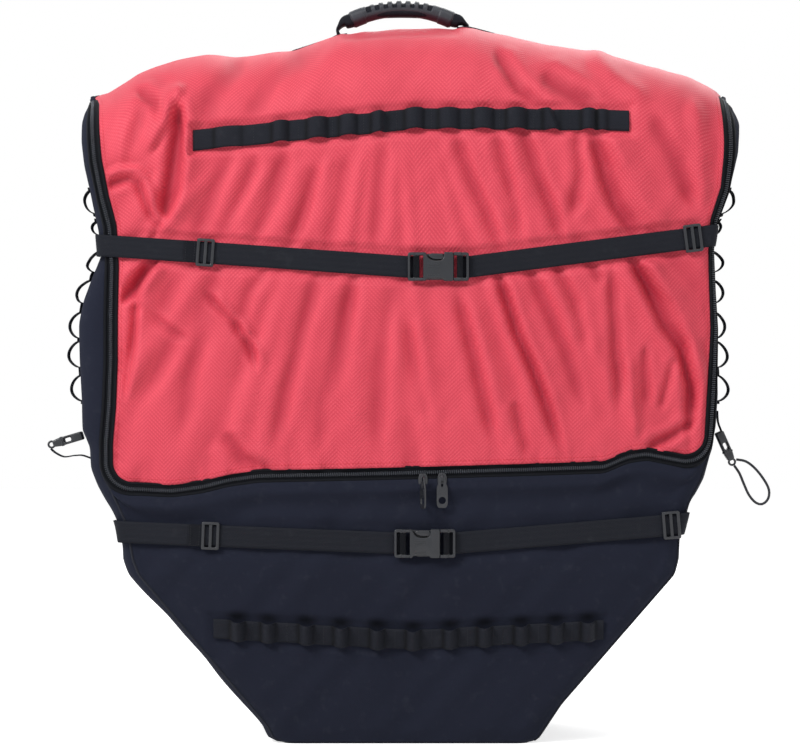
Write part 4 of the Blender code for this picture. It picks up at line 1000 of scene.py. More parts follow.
# %% Folds of the red cloth
def red_relief(points, along, level, low):
    """How far each point of the red cloth stands out from the skin, and how much shade is painted
    on it.
    """
    across, down = pixels_of(points)
    folds = 1.55 * sum(fold_height(across, down, fold) for fold in FOLDS)
    fan = np.arctan2(across - 390.0, down + 20.0)
    spread = eased((down - 120.0) / 160.0)
    soft = 0.0024 * ripple(fan, 0.083, 1.3) * spread * (1 + 0.5 * ripple(points[:, 2], 0.21, 0.4))
    soft += 0.0016 * ripple(points[:, 0] + 0.45 * points[:, 2], 0.105, 2.2)
    soft += 0.0005 * ripple(points[:, 0] * 0.8 - 0.6 * points[:, 2], 0.034, 0.9)
    side_room = red_edge(along, level) - np.abs(along)
    hem_room = level - low
    room = np.minimum(side_room, hem_room + 0.25 * side_room)
    left = np.where(along < 0, 1.0, 0.55)
    pucker = 0.0017 * left * ripple(level + 0.8 * along, 0.0125, 0.7)
    pucker *= np.exp(-side_room / 0.011) * (level < 0.56)
    pucker += 0.0013 * ripple(along, 0.0135, 1.9) * np.exp(-hem_room / 0.010)
    under = np.maximum(pressed(points, UPPER_STRAP, 0.0168, 0.007),
                       pressed(points, UPPER_ROW, 0.0135, 0.008))
    puff = 0.0042 * (1 - under) * eased(room / 0.060)
    relief = folds + soft + pucker + puff
    relief = relief * (1 - under) + np.clip(relief, -0.0035, 0.0009) * under
    over = 1 - 0.75 * eased((level - 0.772) / 0.02)
    relief = relief * over * eased((room - 0.0016) / 0.006)
    handle_dent = eased((0.072 - np.abs(points[:, 0])) / 0.012) * eased((level - 0.745) / 0.012)
    relief -= 0.0030 * handle_dent
    # Painted shade: the deeper a point lies in a fold, the darker its colour.
    sunk = np.maximum(-(folds + 0.7 * soft + pucker) - 0.0003, 0.0)
    painted_shade = 0.92 - 0.92 * np.exp(-sunk / 0.0062)
    return relief, painted_shade * over * eased(room / 0.003)


red_rise, red_painted_shade = red_relief(points_of(red_cloth), *red_spot(*grid_of(*RED_GRID)))
push_out(red_cloth, red_rise)
keep_painted_shade(red_cloth, red_painted_shade)
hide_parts("front_upper_panel", "lid_panel", "crown_panel")
red_rows = points_of(red_cloth).reshape(RED_GRID[1] + 1, RED_GRID[0] + 1, 3)
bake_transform(red_cloth)

# %% [markdown]
# ## The dark blue body
# Two side gussets, the back and the lower front are cloth over foam. Each is laid on the same
# skin, given its thickness, and pushed in and out a little, as foam under cloth is never flat.
# They meet at seams with a thin welt.

# %% Seams of the body
ZIP_OUT = 0.0128
SEAM_TOPS = {-1: float(hem_path(ZIP_OUT)[0, 1]), 1: float(hem_path(ZIP_OUT)[-1, 1])}
BODY_TOP = 0.7894
BODY_LOW = 0.0015


def narrowing(side, level, top):
    """How much narrower the body is at a level than at the top of its lower front."""
    ratio = side_reach(side, level) / side_reach(side, top)
    return 1 + (ratio - 1) * eased((top - level) / 0.03)


def body_edge(side, level):
    """Distance round to the edge between a gusset and what is in front of it."""
    top = SEAM_TOPS[side]
    near, far = side_run(side, level)
    above = red_edge(side, level) + ZIP_OUT - 0.0170 * eased((level - 0.752) / 0.012)
    above = np.minimum(above, (near + far) / 2 - 0.0004)
    corner = float(red_edge(side, top)) + ZIP_OUT
    return np.where(level < top, corner * narrowing(side, level, top), above)


def back_edge(side, level):
    """Distance round to the seam between a gusset and the back."""
    return side_run(side, level)[1]


def gusset_spot(side, u, v):
    travel = BODY_LOW + v * (float(travel_of(BODY_TOP)) - BODY_LOW)
    level = level_at_travel(travel)
    start, end = body_edge(side, level), back_edge(side, level) + 0.0165
    return start + u * (end - start), level, travel, start, end


def under_red(side, level, along, start):
    """1 where a gusset lies under the zip's end or the red cloth, at the top corners."""
    near, far = side_run(side, level)
    front = eased((level - 0.746) / 0.008) * eased((0.017 - along + start) / 0.006)
    turned = near + far - red_edge(side, 2 * (SPRING_LEVEL + CROWN_RISE) - level)
    behind = eased((level - 0.7530) / 0.0045) * eased((along - turned + 0.005) / 0.003)
    return np.maximum(front, behind)


def navy_relief(points, room, seed):
    """Soft unevenness of cloth over foam, none of it at the seams."""
    relief = 0.0016 * ripple(points[:, 2] + 0.3 * points[:, 1], 0.145, seed)
    relief += 0.0010 * ripple(points[:, 1] - 0.4 * points[:, 2] + points[:, 0], 0.082, 2 * seed)
    return relief * eased(room / 0.02)


print("seam tops:", SEAM_TOPS)

# %% Side gussets
BODY_WALL = 0.0035
GUSSET_GRID = (84, 190)
for side, word in ((-1, "left"), (1, "right")):
    def place_gusset(u, v, side=side):
        along, level, travel, start, _ = gusset_spot(side, u, v)
        return skin(side * along, level), np.stack([along, travel], axis=1)

    gusset = lay(f"gusset_{word}", NAVY_CLOTH, *GUSSET_GRID, place_gusset, BODY_WALL, side < 0)
    along, level, _, start, end = gusset_spot(side, *grid_of(*GUSSET_GRID))
    room = np.minimum(along - start, end - along)
    spots = points_of(gusset)
    relief = navy_relief(spots, room, 1.1 if side < 0 else 2.7)
    relief += 0.0022 * eased(room / 0.06) * np.sin(math.pi * np.clip(level / 0.76, 0, 1)) ** 0.7
    under = pressed(spots, UPPER_STRAP, 0.013, 0.022) + pressed(spots, LOWER_STRAP, 0.013, 0.022)
    under *= spots[:, 1] < -0.06
    relief = relief * (1 - under) + np.minimum(relief, -0.0010) * under
    if side < 0:
        relief -= 0.0036 * np.exp(-((spots[:, 2] - 0.356) / 0.018) ** 2
                                  - ((spots[:, 1] + 0.100) / 0.014) ** 2)
    relief = relief * eased(room / 0.01) * eased((0.775 - level) / 0.02)
    relief -= 0.0024 * under_red(side, level, along, start)
    push_out(gusset, relief)
    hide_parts(f"side_panel_{word}")
    print(gusset.name, len(gusset.data.polygons), "faces")


# %% Back
def back_flat(side, level):
    """Half width of the flat back, which ends under the gussets' wraps."""
    return side_run(side, level)[0] - 0.0115


def place_back(u, v):
    travel = BODY_LOW + v * (float(travel_of(0.7625)) - BODY_LOW)
    level = level_at_travel(travel)
    reach = np.where(u < 0.5, back_flat(-1, level), back_flat(1, level))
    along = (2 * u - 1) * reach
    return skin(along, level, back=True), np.stack([along, travel], axis=1)


BACK_GRID = (120, 150)
back = lay("back_cloth", NAVY_CLOTH, *BACK_GRID, place_back, BODY_WALL, flip=True)
u, v = grid_of(*BACK_GRID)
spots = points_of(back)
edge_room = np.minimum(np.minimum(u, 1 - u) * 0.66, v * 0.8)
relief = navy_relief(spots, edge_room, 0.6)
for level in (0.24, 0.50):
    relief -= 0.0022 * np.exp(-((spots[:, 2] - level) / 0.004) ** 2) * eased(edge_room / 0.05)
relief += 0.0030 * eased(edge_room / 0.07)
push_out(back, relief - 0.0030)
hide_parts("back_panel")
print(back.name, len(back.data.polygons), "faces")


# %% Lower front
lower_top = hem_path(ZIP_OUT - 0.0005)


def lower_spot(u, v):
    index = u * (len(lower_top) - 1)
    count = np.arange(len(lower_top))
    start = np.interp(index, count, lower_top[:, 0])
    top = np.interp(index, count, lower_top[:, 1])
    level = BODY_LOW + v * (top - BODY_LOW)
    shrink = np.where(start < 0, narrowing(-1, level, SEAM_TOPS[-1]),
                      narrowing(1, level, SEAM_TOPS[1]))
    near = eased((top - level) / 0.03)
    return start * (1 + (shrink - 1) * near), level, top, start


def place_lower(u, v):
    along, level, _, _ = lower_spot(u, v)
    return skin(along, level), np.stack([along, level], axis=1)


LOWER_GRID = (200, 110)
lower_front = lay("lower_front", NAVY_CLOTH, *LOWER_GRID, place_lower, wall=0.0016)
along, level, top, start = lower_spot(*grid_of(*LOWER_GRID))
spots = points_of(lower_front)
side_room = np.abs(lower_top[0, 0]) * (1 - np.abs(start) / np.abs(lower_top[0, 0]))
below = top - level
fold = 0.0042 * np.exp(-((below - 0.013) / 0.0065) ** 2) * (0.75 + 0.3 * ripple(along, 0.16, 0.7))
fold -= 0.0020 * np.exp(-((below - 0.030) / 0.008) ** 2)
fold += 0.0018 * ripple(along + 0.5 * level, 0.12, 1.7) * eased(below / 0.04)
fold += 0.0010 * ripple(along - 0.9 * level, 0.058, 0.3) * eased(below / 0.04)
under = np.maximum(pressed(spots, LOWER_STRAP, 0.014, 0.014),
                   pressed(spots, LOWER_ROW, 0.013, 0.010))
fold = (fold * (1 - under) + np.clip(fold, -0.003, 0.0008) * under
        + 0.0026 * (1 - under) * eased(side_room / 0.05))
fold *= eased(below / 0.003) * eased(level / 0.02) * eased(side_room / 0.012)
# A shallow dent in the cloth just above each lower loop, also darkened with painted shade.
dent_and_shade = sum(np.exp(-((spots[:, 0] - x) / 0.0125) ** 2) for x in LOWER_LOOP_SPOTS)
dent_and_shade *= np.exp(-((spots[:, 2] - line_height(LOWER_ROW, spots[:, 0]) - 0.0155) / 0.0065) ** 2)
push_out(lower_front, fold - 0.0012 * dent_and_shade)
keep_painted_shade(lower_front, np.clip(0.85 * dent_and_shade - 0.08, 0.0, 1.0))
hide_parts("front_lower_panel")
print(lower_front.name, len(lower_front.data.polygons), "faces")

# %% [markdown]
# ## Trims, plates and dots
# Three more makers serve the small pieces. A tube follows a line, for welts and wire. A plate is a
# flat outline with holes, extruded with rounded edges, for buckles and pulls. Dots are small
# rounded lumps set out along a line, for zip teeth and stitches.


# %% Tubes and plates
def settle(name, obj, material, matrix=None, body="shell", angle=0.6):
    """Make a helper object a mesh in its place, shade it and let it ride on a body."""
    bpy.context.view_layer.update()
    ready = obj.evaluated_get(bpy.context.evaluated_depsgraph_get())
    mesh = bpy.data.meshes.new_from_object(ready)
    bpy.data.objects.remove(obj, do_unlink=True)
    mesh.name = name
    if matrix is not None:
        mesh.transform(matrix)
    mesh.materials.clear()
    mesh.materials.append(material)
    clean = bmesh.new()
    clean.from_mesh(mesh)
    bmesh.ops.remove_doubles(clean, verts=clean.verts, dist=0.000005)
    bmesh.ops.recalc_face_normals(clean, faces=clean.faces)
    for face in clean.faces:
        face.smooth = True
    clean.to_mesh(mesh)
    clean.free()
    mesh.set_sharp_from_angle(angle=angle)
    made = bpy.data.objects.new(name, mesh)
    scene.collection.objects.link(made)
    if body:
        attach(made, body)
    return made


def tube(name, points, radius, material, body="shell", closed=False):
    """A round cord or welt along points."""
    curve = bpy.data.curves.new(name, "CURVE")
    curve.dimensions = "3D"
    curve.bevel_depth = radius
    curve.bevel_resolution = 3
    curve.use_fill_caps = not closed
    spline = curve.splines.new("POLY")
    spline.points.add(len(points) - 1)
    spline.points.foreach_set("co", np.hstack([points, np.ones((len(points), 1))]).ravel())
    spline.use_cyclic_u = closed
    obj = bpy.data.objects.new(name, curve)
    scene.collection.objects.link(obj)
    return settle(name, obj, material, body=body, angle=1.2)


def rounded(corners, radius):
    """An outline whose corners are rounded."""
    steps, line = 5, []
    for index, corner in enumerate(corners):
        before, after = Vector(corners[index - 1]), Vector(corners[(index + 1) % len(corners)])
        corner = Vector(corner)
        cut = min(radius, (before - corner).length / 2, (after - corner).length / 2)
        start = corner + (before - corner).normalized() * cut
        end = corner + (after - corner).normalized() * cut
        for step in range(steps + 1):
            t = step / steps
            line.append(start * (1 - t) ** 2 + corner * 2 * t * (1 - t) + end * t * t)
    return line


def bar(left, right, low, high, radius):
    """A rounded rectangle between two sides and two heights."""
    return rounded([(left, low), (right, low), (right, high), (left, high)], radius)


def plate(name, outlines, near, far, edge, material, matrix, body="shell"):
    """Outlines in X and Z, the first solid and the others holes, from near to far in Y."""
    curve = bpy.data.curves.new(name, "CURVE")
    curve.dimensions = "2D"
    curve.fill_mode = "BOTH"
    curve.extrude = max(0.0, abs(far - near) / 2 - edge)
    curve.bevel_depth = edge
    curve.bevel_resolution = 2
    curve.offset = -edge
    for outline in outlines:
        spline = curve.splines.new("POLY")
        spline.points.add(len(outline) - 1)
        for spot, point in zip(outline, spline.points):
            point.co = (spot[0], spot[1], 0.0, 1.0)
        spline.use_cyclic_u = True
    obj = bpy.data.objects.new(name, curve)
    scene.collection.objects.link(obj)
    stand = Matrix.Translation((0.0, (near + far) / 2, 0.0)) @ Matrix.Rotation(math.pi / 2, 4, "X")
    return settle(name, obj, material, matrix @ stand, body=body)


print("makers: tube, plate")


# %% Dots, and frames on the front
def dots(name, frames, size, material, body="shell"):
    """Small rounded lumps, one at each frame, of one size."""
    lumps = bmesh.new()
    scale = Matrix.Diagonal((*size, 1.0))
    for place in frames:
        bmesh.ops.create_icosphere(lumps, subdivisions=1, radius=0.5, matrix=place @ scale)
    for face in lumps.faces:
        face.smooth = True
    mesh = bpy.data.meshes.new(name)
    lumps.to_mesh(mesh)
    lumps.free()
    mesh.materials.append(material)
    obj = bpy.data.objects.new(name, mesh)
    scene.collection.objects.link(obj)
    if body:
        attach(obj, body)
    return obj


def frame_at(place, along, out):
    """A matrix at a point whose X runs along a line and whose Y points inwards."""
    along = Vector(along).normalized()
    inward = -Vector(out)
    inward = (inward - along * inward.dot(along)).normalized()
    turn = Matrix((along, inward, along.cross(inward))).transposed()
    return Matrix.Translation(place) @ turn.to_4x4()


def on_front(x, height, slope=0.0, lift=0.0):
    """A matrix on the front cloth: X across at a slope, Z up, Y into the bag."""
    level = level_of(x, height)
    here = Vector(skin(x, level, lift, 0.006))
    right = Vector(skin(x + 0.006, level_of(x + 0.006, height), lift, 0.006)) - Vector(
        skin(x - 0.006, level_of(x - 0.006, height), lift, 0.006))
    up = Vector(skin(x, level_of(x, height + 0.006), lift, 0.006)) - Vector(
        skin(x, level_of(x, height - 0.006), lift, 0.006))
    inward = up.cross(right).normalized()
    right = Matrix.Rotation(slope, 3, -inward) @ right.normalized()
    turn = Matrix((right, inward, right.cross(inward))).transposed()
    return Matrix.Translation(here) @ turn.to_4x4()


def path_frames(path, pitch, lift, start=0.0):
    """Frames at a pitch along a line of (along, level) points on the skin."""
    points = skin(path[:, 0], path[:, 1], lift)
    travel = np.concatenate([[0.0], np.cumsum(np.linalg.norm(np.diff(points, axis=0), axis=1))])
    stops = np.arange(start, travel[-1], pitch)
    spots = np.stack([np.interp(stops, travel, points[:, axis]) for axis in range(3)], axis=1)
    higher = skin(path[:, 0], path[:, 1], lift + 0.002) - points
    outs = np.stack([np.interp(stops, travel, higher[:, axis]) for axis in range(3)], axis=1)
    ahead = np.gradient(spots, axis=0)
    return [frame_at(*item) for item in zip(spots, ahead, outs)]


print("makers: dots")

# %% [markdown]
# ## The zip
# One long coil zip runs in a U, down both sides and along the hem. Its two tapes are bands on the
# skin, and between them sit two rows of nylon turns. The inner tape is sewn to the lid, so below
# the fold it swings up with the lid. The binding that holds each tape is a thin rolled edge.

# %% Zip tapes
ZIP_TOP = 0.7630


def band(name, material, inner, outer, rise, wall, body="shell", blended=False, crown=0.0):
    """A band along the U between two offsets from the red cloth's edge."""
    near, far = u_path(inner, ZIP_TOP), u_path(outer, ZIP_TOP)
    count = len(near) - 1

    def place(u, v):
        index = u * count
        both = []
        for line in (far, near):
            both.append(np.stack([np.interp(index, np.arange(count + 1), line[:, axis])
                                  for axis in (0, 1)], axis=1))
        spot = both[0] * (1 - v)[:, None] + both[1] * v[:, None]
        lift = rise + crown * np.sin(math.pi * v)
        run = u * 1.7
        return skin(spot[:, 0], spot[:, 1], lift), np.stack([run, v * (outer - inner)], axis=1)

    piece = lay(name, material, count, 5, place, wall=wall, body=None if blended else body)
    if blended:
        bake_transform(piece)
    return piece


inner_tape = band("zip_tape_inner", ZIP_TAPE, -0.0010, 0.0060, 0.0008, 0.0011, blended=True)
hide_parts("zip_tape_lid", "zip_tape_upper_left", "zip_tape_upper_right")
outer_tape = band("zip_tape_outer", ZIP_TAPE, 0.0074, 0.0138, 0.0008, 0.0011)
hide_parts("zip_tape_bag")
band("red_edge_binding", BINDING, -0.0014, 0.0018, 0.0009, 0.0009, blended=True, crown=0.0010)
band("body_edge_binding", BINDING, 0.0112, 0.0152, 0.0009, 0.0009, crown=0.0016)
print("tapes:", inner_tape.name, outer_tape.name)

# %% Zip coil
COIL_PITCH = 0.0024
teeth_out = path_frames(u_path(0.0076, ZIP_TOP), COIL_PITCH, 0.0021)
coil_outer = dots("zip_coil_outer", teeth_out, (0.0015, 0.0017, 0.0034), ZIP_COIL)
teeth_in = path_frames(u_path(0.0058, ZIP_TOP), COIL_PITCH, 0.0021, start=COIL_PITCH / 2)
coil_inner = dots("zip_coil_inner", teeth_in, (0.0015, 0.0017, 0.0034), ZIP_COIL, body=None)
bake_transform(coil_inner)
print("coil turns:", len(teeth_out), "and", len(teeth_in))

# %% [markdown]
# A row of red stitches runs just inside the red cloth's edge. They lie on the folded cloth, so
# their height comes from the same relief as the cloth's.

# %% Stitches along the red edge
STITCH_IN = 0.0054
inside = u_path(-STITCH_IN, ZIP_TOP)
inside_low = np.where(inside[:, 1] > 0.352, 0.30, inside[:, 1] - STITCH_IN)
inside_rise, _ = red_relief(skin(inside[:, 0], inside[:, 1]), inside[:, 0], inside[:, 1],
                            inside_low)
edge_stitches = dots("red_edge_stitches", path_frames(inside, 0.0036, inside_rise + 0.0002),
                     (0.0024, 0.0006, 0.0007), RED_THREAD, body=None)
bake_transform(edge_stitches)
print("edge stitches:", len(edge_stitches.data.polygons), "faces")

# %% [markdown]
# The sliders are shield-shaped with a bridge over the top, and a long pull hangs from each bridge
# on a small ring. One pull faces forward and shows its round hole. The other has turned edge on.

# %% Zip sliders and pulls
PULL_SPOTS = {"left": (0.024, 0.3063, -0.1491, math.radians(-65.0)),
              "right": (0.046, 0.3069, -0.1490, 0.0)}
SHIELD = rounded([(-0.0038, 0.0075), (0.0038, 0.0075), (0.0056, 0.0020), (0.0050, -0.0055),
                  (0.0022, -0.0078), (-0.0022, -0.0078), (-0.0050, -0.0055), (-0.0056, 0.0020)],
                 0.002)
PULL = rounded([(-0.0030, 0.0), (0.0030, 0.0), (0.0042, -0.0070), (0.0064, -0.0130),
                (0.0065, -0.0320), (0.0045, -0.0362), (-0.0045, -0.0362), (-0.0065, -0.0320),
                (-0.0064, -0.0130), (-0.0042, -0.0070)], 0.0022)


def ring_line(x, z, radius):
    """A round outline of 20 points."""
    return [(x + radius * math.cos(2 * math.pi * step / 20),
             z + radius * math.sin(2 * math.pi * step / 20)) for step in range(20)]


for word, (x, z, y, turn) in PULL_SPOTS.items():
    at = Matrix.Translation((x, y, z))
    slider = plate(f"slider_{word}", [SHIELD], -0.0010, -0.0044, 0.0008, ZIP_METAL, at,
                   f"zip_slider_{word}")
    bridge = plate(f"slider_{word}_bridge", [bar(-0.0016, 0.0016, -0.0052, 0.0056, 0.0012)],
                   -0.0042, -0.0062, 0.0006, ZIP_METAL, at, f"zip_slider_{word}")
    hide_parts(f"zip_slider_{word}")
    tab_spot = next(Vector(joint["pos_m"]) for joint in frame["record"]["behaviour"]["joints"]
                    if joint["name"] == f"pull_tab_{word}_swing")
    hang = Matrix.Translation(tab_spot) @ Matrix.Rotation(turn, 4, "Z")
    holes = [ring_line(0.0, -0.0276, 0.0041), bar(-0.0011, 0.0011, -0.0120, -0.0048, 0.001)]
    tab = plate(f"pull_{word}", [PULL] + holes, 0.0010, -0.0010, 0.0005, ZIP_METAL, hang,
                f"pull_tab_{word}")
    face = plate(f"pull_{word}_rib", [bar(-0.0042, 0.0042, -0.0212, -0.0142, 0.0016),
                                      bar(-0.0028, 0.0028, -0.0200, -0.0154, 0.0012)],
                 -0.0008, -0.0014, 0.0002, ZIP_METAL, hang, f"pull_tab_{word}")
    loop = np.array([hang @ Vector((0.0, 0.0022 * math.cos(a), -0.0022 + 0.0034 * math.sin(a)))
                     for a in np.linspace(0, 2 * math.pi, 21)[:-1]])
    wire = tube(f"pull_{word}_ring", loop, 0.0007, ZIP_METAL, f"pull_tab_{word}", closed=True)
    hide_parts(f"pull_tab_{word}")
print("pulls at", [item[:2] for item in PULL_SPOTS.values()])

# %% [markdown]
# ## Compression straps
# Each strap is 25 mm webbing in two halves. Its end is sewn flat to the gusset round the corner,
# and it runs over the cloth to the buckle, where it turns round a bar.

# %% Strap webbing
STRAPS = {"upper": (UPPER_STRAP, 0.0414), "lower": (LOWER_STRAP, 0.0260)}
STRAP_LIFT = 0.0037
WEBBING_THICK = 0.0015
STRAP_CORNER = 0.006


def strap_piece(prefix, side):
    line, middle = STRAPS[prefix]
    inner = middle + side * 0.0222
    edge = float(side_reach(side, line_height(line, side * 0.3665)))
    flat_end = edge - STRAP_CORNER
    outer = side * (flat_end + STRAP_CORNER * math.pi / 2 + 0.016)

    def place(u, v):
        share = u if side > 0 else 1 - u
        along = inner + share * (outer - inner)
        x = side * np.minimum(side * along, edge)
        height = line_height(line, x) + (v - 0.5) * WEBBING_WIDTH
        sewn = np.clip((np.abs(along) - flat_end) / (abs(outer) - flat_end), 0.0, 1.0)
        lift = STRAP_LIFT + sewn * (0.0008 - STRAP_LIFT)
        slack = eased((np.abs(along - middle) - 0.05) / 0.05) * eased((edge - np.abs(along)) / 0.04)
        lift = lift + 0.0005 * slack * (1 + ripple(along, 0.09, 1.0 + side))
        lift = lift - 0.0003 * np.abs(2 * v - 1) ** 6
        points = skin(along, level_of(x, height), lift, STRAP_CORNER)
        return points, np.stack([along, v * WEBBING_WIDTH], axis=1)

    word = "left" if side < 0 else "right"
    piece = lay(f"{prefix}_webbing_{word}", STRAP_WEBBING, 130, 10, place, wall=WEBBING_THICK)
    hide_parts(f"{prefix}_strap_{word}")
    if side > 0:
        length = float(np.ptp(points_of(piece)[:, 0]))
        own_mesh(piece)
    print(piece.name, round(length_of_row(piece) * 1000), "mm")
    return piece


def length_of_row(obj):
    spots = points_of(obj)
    row = spots[:131]
    return float(np.linalg.norm(np.diff(row, axis=0), axis=1).sum())


for prefix in STRAPS:
    for side in (-1, 1):
        strap_piece(prefix, side)

# %% [markdown]
# The webbing's spare end is folded over and stitched just outside each left adjuster, with two
# rows of thread.


# %% Folded ends and stitches on the straps
def strap_frame(prefix, x):
    """A frame on a strap's outer face."""
    line = STRAPS[prefix][0]
    step = 0.01 if x < 0 else -0.01
    rise = float(line_height(line, x + step) - line_height(line, x))
    slope = math.atan2(rise * math.copysign(1, step), 0.01)
    return on_front(x, float(line_height(line, x)), slope)


def stitch_row(name, matrix, start, end, depth):
    """A row of stitches between two (x, z) places of a frame."""
    start, end = Vector((start[0], depth, start[1])), Vector((end[0], depth, end[1]))
    count = max(2, int((end - start).length / 0.0028))
    turn = (end - start).normalized().rotation_difference(Vector((1, 0, 0))).inverted()
    turn = turn.to_matrix().to_4x4()
    frames = [matrix @ Matrix.Translation(start.lerp(end, (step + 0.5) / count)) @ turn
              for step in range(count)]
    dots(name, frames, (0.0020, 0.0006, 0.0007), BLACK_THREAD)


for prefix, x in (("upper", -0.2430), ("lower", -0.2375)):
    at = strap_frame(prefix, x)
    tab = plate(f"{prefix}_webbing_fold", [bar(-0.0075, 0.0080, -0.0125, 0.0125, 0.0012)], -0.0038,
                -0.0068, 0.0012, STRAP_WEBBING, at)
    for index, place in enumerate((-0.0048, 0.0052)):
        stitch_row(f"{prefix}_fold_stitch_{index}", at, (place, -0.0115), (place, 0.0115), -0.0069)
print("strap folds sewn")

# %% [markdown]
# ## Side-release buckles
# A buckle is built in layers, as the real one is moulded: a back plate, a front plate with a deep
# scoop on each side for the fingers, rails between them, and a frame that holds the webbing. The
# plug has a tongue and two sprung prongs, whose thumb pads fill the scoops.

# %% Socket halves
SCOOPED = rounded([(-0.0172, -0.0165), (-0.0148, -0.0165), (-0.0132, -0.0140), (0.0048, -0.0140),
                   (0.0064, -0.0165), (0.0171, -0.0165), (0.0171, 0.0165), (0.0066, 0.0165),
                   (0.0062, 0.0105), (0.0042, 0.0074), (-0.0020, 0.0066), (-0.0078, 0.0072),
                   (-0.0120, 0.0104), (-0.0142, 0.0146), (-0.0158, 0.0165), (-0.0172, 0.0165)],
                  0.0016)
FRAME_DEPTHS = (-0.0046, -0.0098, 0.0012)
RAIL_DEPTHS = (-0.0040, -0.0100, 0.0002)


def mirror(outline):
    """An outline turned over, from the top side to the lower side."""
    return [(spot[0], -spot[1]) for spot in outline]


def slotted(left, right, first, second, radius=0.0036):
    """A webbing frame with two slots, each given by its left and right."""
    return [bar(left, right, -0.0165, 0.0165, radius), bar(*first, -0.0127, 0.0127, 0.0008),
            bar(*second, -0.0127, 0.0127, 0.0008)]


def moulded(prefix, half, layers, at, body="shell"):
    """The layers of one half of a buckle. Its frame stands for the whole half."""
    for word, outlines, depths in layers:
        piece = plate(f"{prefix}_{half}_{word}", outlines, *depths, PLASTIC, at, body)
        if word == "frame":
            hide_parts(f"{prefix}_buckle_{half}")


def socket(prefix, at):
    """The socket half, which stays on the bag."""
    frame_outlines = slotted(-0.0350, -0.0150, (-0.0319, -0.0284), (-0.0214, -0.0172))
    brow = (-0.0060, -0.0118, 0.0012)
    layers = [("frame", frame_outlines, FRAME_DEPTHS),
              ("front", [SCOOPED], (-0.0096, -0.0125, 0.0009)),
              ("back", [bar(-0.0172, 0.0171, -0.0150, 0.0150, 0.002)], (-0.0012, -0.0042, 0.0006)),
              ("wall", [bar(-0.0172, -0.0138, -0.0162, 0.0162, 0.001)], RAIL_DEPTHS),
              ("rail_upper", [bar(0.0068, 0.0170, 0.0136, 0.0164, 0.0006)], RAIL_DEPTHS),
              ("rail_lower", [bar(0.0068, 0.0170, -0.0164, -0.0136, 0.0006)], RAIL_DEPTHS),
              ("brow_upper", [bar(-0.0270, -0.0150, 0.0128, 0.0163, 0.0014)], brow),
              ("brow_lower", [bar(-0.0270, -0.0150, -0.0163, -0.0128, 0.0014)], brow)]
    for index, height in enumerate((0.0034, 0.0014, -0.0006, -0.0098, -0.0118)):
        rib = bar(-0.0125, 0.0012, height - 0.0005, height + 0.0005, 0.0005)
        layers.append((f"rib_{index}", [rib], (-0.0120, -0.0129, 0.0003)))
    moulded(prefix, "socket", layers, at)


def turn_over(prefix, word, left, right, at, body):
    """Webbing turned over the bar of a frame."""
    piece = plate(f"{prefix}_webbing_turn_{word}", [bar(left, right, -0.0122, 0.0122, 0.0008)],
                  -0.0094, -0.0110, 0.0007, BINDING, at, body)


BUCKLE_AT = {prefix: on_front(middle, float(line_height(line, middle)))
             for prefix, (line, middle) in STRAPS.items()}
for prefix, at in BUCKLE_AT.items():
    socket(prefix, at)
    turn_over(prefix, "left", -0.0284, -0.0216, at, "shell")
    print(prefix, "buckle at", [round(part, 4) for part in at.translation])

# %% Plug halves and prongs
PRONG = rounded([(0.0180, 0.0080), (0.0180, 0.0116), (0.0070, 0.0120), (0.0054, 0.0150),
                 (-0.0082, 0.0153), (-0.0118, 0.0130), (-0.0098, 0.0100), (-0.0040, 0.0080),
                 (0.0060, 0.0078)], 0.0014)


def plug(prefix, at):
    """The plug half, which slides out, and its two prongs, which squeeze in."""
    frame_outlines = slotted(0.0160, 0.0352, (0.0178, 0.0214), (0.0284, 0.0319))
    brow = (-0.0030, -0.0120, 0.0012)
    layers = [("frame", frame_outlines, FRAME_DEPTHS),
              ("brow_upper", [bar(0.0174, 0.0270, 0.0128, 0.0165, 0.0012)], brow),
              ("brow_lower", [bar(0.0174, 0.0270, -0.0165, -0.0128, 0.0012)], brow),
              ("tongue", [bar(-0.0100, 0.0180, -0.0030, 0.0030, 0.002)],
               (-0.0052, -0.0086, 0.0006))]
    moulded(prefix, "plug", layers, at, f"{prefix}_plug")
    for word, outline in (("upper", PRONG), ("lower", mirror(PRONG))):
        piece = plate(f"{prefix}_prong_{word}_arm", [outline], -0.0046, -0.0092, 0.0011, PLASTIC,
                      at, f"{prefix}_prong_{word}")
        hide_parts(f"{prefix}_buckle_prong_{word}")


for prefix, at in BUCKLE_AT.items():
    plug(prefix, at)
    turn_over(prefix, "right", 0.0216, 0.0282, at, f"{prefix}_plug")
print("plugs and prongs:", 2 * len(BUCKLE_AT))

# %% [markdown]
# Each strap has an adjuster near each end: a ring in front of the webbing with a bar behind it.

# %% Strap adjusters
GLIDES = {"upper_glide_left": ("upper", -0.2254), "upper_glide_right": ("upper", 0.3340),
          "lower_glide_left": ("lower", -0.2196), "lower_glide_right": ("lower", 0.3090)}

for name, (prefix, x) in GLIDES.items():
    at = strap_frame(prefix, x)
    ring = plate(f"{name}_ring", [bar(-0.01035, 0.01035, -0.0160, 0.0160, 0.0026),
                                  bar(-0.0066, 0.0066, -0.0128, 0.0128, 0.001)],
                 -0.0048, -0.0072, 0.0011, PLASTIC, at, name)
    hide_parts(name)
    for word, low in (("upper", 0.0133), ("lower", -0.0159)):
        plate(f"{name}_rail_{word}", [bar(-0.0095, 0.0095, low, low + 0.0026, 0.001)],
                           -0.0006, -0.0060, 0.0006, PLASTIC, at, name)
    plate(f"{name}_bar", [bar(-0.0019, 0.0019, -0.0140, 0.0140, 0.001)],
                       -0.0048, -0.0064, 0.0007, PLASTIC, at, name)
print("adjusters:", list(GLIDES))

# %% [markdown]
# ## Elastic loop rows
# Each row is one ribbon, sewn down between its loops. Every loop stands out by its own amount, as
# in the photograph, and one loop of the upper row is skewed, as if a cord had been pulled from it.
# The loops of the lower row stand open at the top.

